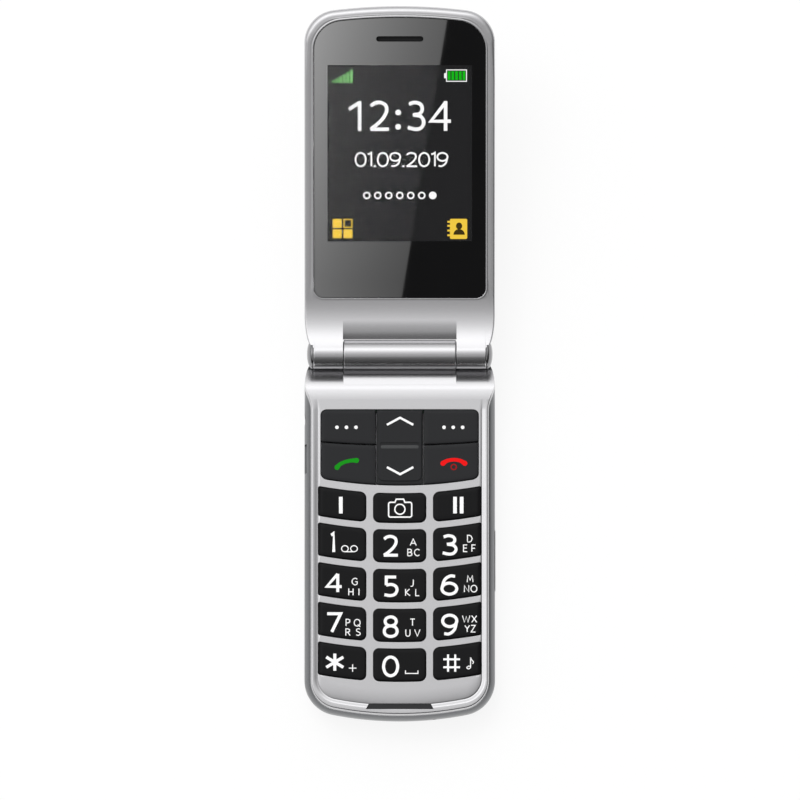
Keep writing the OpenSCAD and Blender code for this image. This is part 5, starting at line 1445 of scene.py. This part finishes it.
# Panel for the lens: its distance, its left edge, and its slanted right edge (x, slope, and the
# distance from the axis where x holds); then its glow at a place on the left, how fast that falls
# with x, and between which distances from the axis it rises
GLARE_REACH, GLARE_LEFT, GLARE_RIGHT = 0.6, -34, (0.61, 0.1617, 15.8)
GLARE_GLOW, GLARE_AT, GLARE_FALL, GLARE_RISE = 0.287, -22.3, 0.0316, (20.5, 63.3)
LENS_MIRROR = 0.0123                # share of light that the lens's weak reflection gives back


def only_seen(obj, **rays):
    """Limits an object of the stage to some kinds of ray."""
    for ray in ("camera", "diffuse", "glossy", "transmission", "volume_scatter", "shadow"):
        setattr(obj, "visible_" + ray, rays.get(ray, False))


def staged(name, shape, material):
    """Makes a shape, in metres, an object of the stage."""
    mesh = mesh_of(shape, name)
    mesh.materials.append(material)
    obj = bpy.data.objects.new(name, mesh)
    bpy.context.scene.collection.objects.link(obj)
    return obj


def glare_panel(eye):
    """Long panel whose mirror image lies over the lens's left part. A grid of points on the lens
    is sent along the mirrored line of sight; it ends at a slanted line, and its glow falls off
    with x as an exponential does and rises with the distance from the axis."""
    d = np.linspace(6, 104, 41)[None, :]
    edge, slope, at = GLARE_RIGHT
    x = GLARE_LEFT + (edge + slope * (d - at) - GLARE_LEFT) * np.linspace(0, 1, 25)[:, None]
    d = d + 0 * x
    glow = GLARE_GLOW * np.exp(-GLARE_FALL * (x - GLARE_AT)) * (
        0.5 + 0.5 * np.clip((d - GLARE_RISE[0]) / GLARE_RISE[1], 0, 1.2))
    lens = in_lid(np.column_stack((x.ravel(), d.ravel(), np.full(x.size, FACE))))
    normal = np.array((0, -math.sin(LID_TILT), math.cos(LID_TILT)))
    look = lens - eye
    look /= np.linalg.norm(look, axis=1, keepdims=True)
    away = look - 2 * (look @ normal)[:, None] * normal
    rows, cols = x.shape
    i = (np.arange(rows - 1)[:, None] * cols + np.arange(cols - 1)).ravel()
    faces = np.column_stack((i, i + 1, i + cols + 1, i + cols))
    return lens + away * GLARE_REACH, faces.tolist(), glow.ravel()


# Light of the studio by direction: the share of a way that leads behind the hinge and a little to
# the left, against the radiance that comes from there
LIGHT_WAY = np.array((-0.45, 0.89, 0.0))
LIGHT_STOPS = np.array([(-1, 0.09), (-0.46, 0.17), (-0.34, 0.47), (-0.2, 0.5), (-0.08, 0.60),
                        (0.03, 0.77), (0.12, 0.88), (0.2, 1.04), (0.28, 1.26), (0.36, 1.55),
                        (0.43, 1.75), (1, 1.75)])
# How the tent's glow rises with the height of the direction above the floor
HEIGHT_STOPS = np.array([(-1, 0.2), (0, 0.2), (0.14, 0.32), (0.62, 0.62), (0.79, 1), (1, 1)])
TENT_R = 2.4                        # radius of the tent in metres


def tent():
    """Dome of cloth around the phone, whose glow at each point goes with the share of its
    direction that leads along the light's way, and with its height."""
    turn = np.linspace(0, 2 * math.pi, 72, endpoint=False)[None, :]
    rise = np.radians(np.linspace(-1, 89.9, 46))[:, None]
    way = np.stack((np.cos(rise) * np.cos(turn), np.cos(rise) * np.sin(turn),
                    np.sin(rise) + 0 * turn), axis=2).reshape(-1, 3)
    rows, cols = len(rise), turn.size
    i = np.arange((rows - 1) * cols)
    j = i // cols * cols + (i + 1) % cols
    faces = np.column_stack((i, j, j + cols, i + cols))
    glow = np.interp(way @ LIGHT_WAY, *LIGHT_STOPS.T) * np.interp(way[:, 2], *HEIGHT_STOPS.T)
    return way * TENT_R, faces.tolist(), glow


def glowing(name, panel, factor, *receivers):
    """A staged sheet with its own glow at each point, which only reflections show, and only those
    of its receivers if it has any."""
    points, faces, light = panel
    sheet, tree, _ = finish_of(name, "#000000")
    level = add(tree, "ShaderNodeAttribute", attribute_name="glow")
    power = add(tree, "ShaderNodeMath", {0: level.outputs["Fac"], 1: factor},
                operation="MULTIPLY")
    shine = add(tree, "ShaderNodeEmission", {0: (1, 1, 1, 1), 1: power.outputs[0]})
    if receivers:
        # Everything else sees through it
        clear = add(tree, "ShaderNodeBsdfTransparent")
        shine = add(tree, "ShaderNodeAddShader", {0: shine.outputs[0], 1: clear.outputs[0]})
    out = next(n for n in tree.nodes if n.type == "OUTPUT_MATERIAL")
    tree.links.new(shine.outputs[0], out.inputs[0])
    sheet.cycles.emission_sampling = "NONE"
    made = staged(name, (points, faces), sheet)
    made.data.attributes.new("glow", "FLOAT", "POINT").data.foreach_set(
        "value", light.astype(np.float32))
    only_seen(made, glossy=True)
    if receivers:
        linked = bpy.data.collections.new(name + "_receivers")
        bpy.context.scene.collection.children.link(linked)
        for receiver in receivers:
            linked.objects.link(bpy.data.objects[receiver])
        made.light_linking.receiver_collection = linked


def background_rays(tree):
    """1 for the rays that see the plain background: the camera's, reflected and refracted ones."""
    rays = add(tree, "ShaderNodeLightPath").outputs
    first = add(tree, "ShaderNodeMath", {0: rays["Is Camera Ray"], 1: rays["Is Glossy Ray"]},
                operation="MAXIMUM")
    return add(tree, "ShaderNodeMath", {0: first.outputs[0], 1: rays["Is Transmission Ray"]},
               operation="MAXIMUM").outputs[0]


class BuildStage(bpy.types.Operator):
    """Builds the camera, background, studio tent, floor, lamp and the panel for the lens."""

    bl_idname = "flip_phone.stage"
    bl_label = "Stage"

    def execute(self, context):
        scene = context.scene
        scene.view_settings.view_transform = "Standard"

        # Camera straight over the keypad, leaning towards the foot
        distance = FRAME_WIDTH * LENS_MM / SENSOR_MM
        back = np.array((0, -math.sin(CAMERA_UP), math.cos(CAMERA_UP)))
        eye = np.array(AIM) + back * distance
        data = bpy.data.cameras.new("camera")
        data.lens, data.sensor_width = LENS_MM, SENSOR_MM
        data.clip_start, data.clip_end = 0.1, 20
        camera = bpy.data.objects.new("camera", data)
        camera.location = eye.tolist()
        camera.rotation_euler = (CAMERA_UP, 0, 0)
        scene.collection.objects.link(camera)
        scene.camera = camera

        # World: a white background, and the studio's soft light, which goes from dark by the
        # foot to bright behind the hinge
        world = bpy.data.worlds.new("studio")
        scene.world = world
        world.use_nodes = True
        tree = world.node_tree
        tree.nodes.clear()
        way = add(tree, "ShaderNodeTexCoord").outputs["Generated"]
        lean = add(tree, "ShaderNodeVectorMath", {0: way, 1: LIGHT_WAY.tolist()},
                   operation="DOT_PRODUCT")
        share = add(tree, "ShaderNodeMapRange", {0: lean.outputs["Value"], 1: -1.0, 2: 1.0})
        ramp = add(tree, "ShaderNodeValToRGB", {0: share.outputs[0]})
        brightest = LIGHT_STOPS[:, 1].max()
        while len(ramp.color_ramp.elements) < len(LIGHT_STOPS):
            ramp.color_ramp.elements.new(0.5)
        for element, (place, light) in zip(ramp.color_ramp.elements, LIGHT_STOPS):
            element.position = (place + 1) / 2
            element.color = (*[light / brightest] * 3, 1)
        studio = add(tree, "ShaderNodeBackground", {0: ramp.outputs[0], 1: brightest})
        white = add(tree, "ShaderNodeBackground", {0: (1, 1, 1, 1), 1: 1.0})
        pick = add(tree, "ShaderNodeMixShader", {0: background_rays(tree), 1: studio.outputs[0],
                                                 2: white.outputs[0]})
        out = add(tree, "ShaderNodeOutputWorld")
        tree.links.new(pick.outputs[0], out.inputs[0])

        # Studio tent, the cloth that the paint and the lens reflect
        glowing("studio_tent", tent(), 1.0)

        # Floor: white card that keeps the phone's shadow
        card, tree, surface = finish_of("white_card", "#f2f2f2", Roughness=0.8)
        speckle(tree, surface, ("#f0f0f0", "#f4f4f4"), 2 * MM, (0.75, 0.85))
        glow = add(tree, "ShaderNodeEmission", {0: (1, 1, 1, 1), 1: 1.0})
        blend = add(tree, "ShaderNodeMath", {0: background_rays(tree), 1: CARD_GLOW},
                    operation="MULTIPLY")
        mixed = add(tree, "ShaderNodeMixShader", {0: blend.outputs[0], 1: surface.outputs[0],
                                                  2: glow.outputs[0]})
        out = next(n for n in tree.nodes if n.type == "OUTPUT_MATERIAL")
        tree.links.new(mixed.outputs[0], out.inputs[0])
        floor = staged("floor", prism(oval(0, 0, 3000, 3000, 96), -2, -0.02), card)
        floor.data.transform(Matrix.Scale(MM, 4))

        # Soft lamp high behind the hinge, a little to the left
        lamp = bpy.data.lights.new("soft_lamp", "AREA")
        lamp.shape, lamp.size, lamp.size_y = "RECTANGLE", *LAMP_SIZE
        lamp.energy = LAMP_POWER
        holder = bpy.data.objects.new("soft_lamp", lamp)
        place = np.array(LAMP_PLACE)
        holder.location = place.tolist()
        holder.rotation_euler = Vector((place - AIM).tolist()).to_track_quat("Z", "Y").to_euler()
        holder.visible_glossy = False
        scene.collection.objects.link(holder)

        # Panel that only the lens reflects, at the strength that its weak reflection needs
        glowing("lens_panel", glare_panel(eye), 1 / LENS_MIRROR, "lens_border", "lens_window")
        return {"FINISHED"}


OPERATORS = (DressKeypadShell, DressLid, DressDisplay, DressNavigation, DressNumberKeys,
             PrintLegends, DressSides, DressInside, BuildStage)


class PhonePanel(bpy.types.Panel):
    """Lists the sizes, the colours and the steps that dress the phone."""

    bl_idname = "VIEW3D_PT_flip_phone"
    bl_label = "Flip Phone"
    bl_space_type = "VIEW_3D"
    bl_region_type = "UI"
    bl_category = "Flip Phone"

    def draw(self, context):
        for group in (context.scene.phone_sizes, context.scene.phone_colours):
            for key in group.bl_rna.properties.keys():
                if key not in ("rna_type", "name"):
                    self.layout.prop(group, key)
        for operator in OPERATORS:
            self.layout.operator(operator.bl_idname)


CLASSES = (PhoneSizes, PhoneColours, *OPERATORS, PhonePanel)


def register():
    for item in CLASSES:
        bpy.utils.register_class(item)
    bpy.types.Scene.phone_sizes = bpy.props.PointerProperty(type=PhoneSizes)
    bpy.types.Scene.phone_colours = bpy.props.PointerProperty(type=PhoneColours)


def unregister():
    del bpy.types.Scene.phone_colours
    del bpy.types.Scene.phone_sizes
    for item in reversed(CLASSES):
        bpy.utils.unregister_class(item)


def main():
    register()
    for step in ("keypad_shell", "lid", "display", "navigation", "number_keys", "legends", "sides",
                 "inside", "stage"):
        getattr(bpy.ops.flip_phone, step)()


if __name__ == "__main__":
    main()
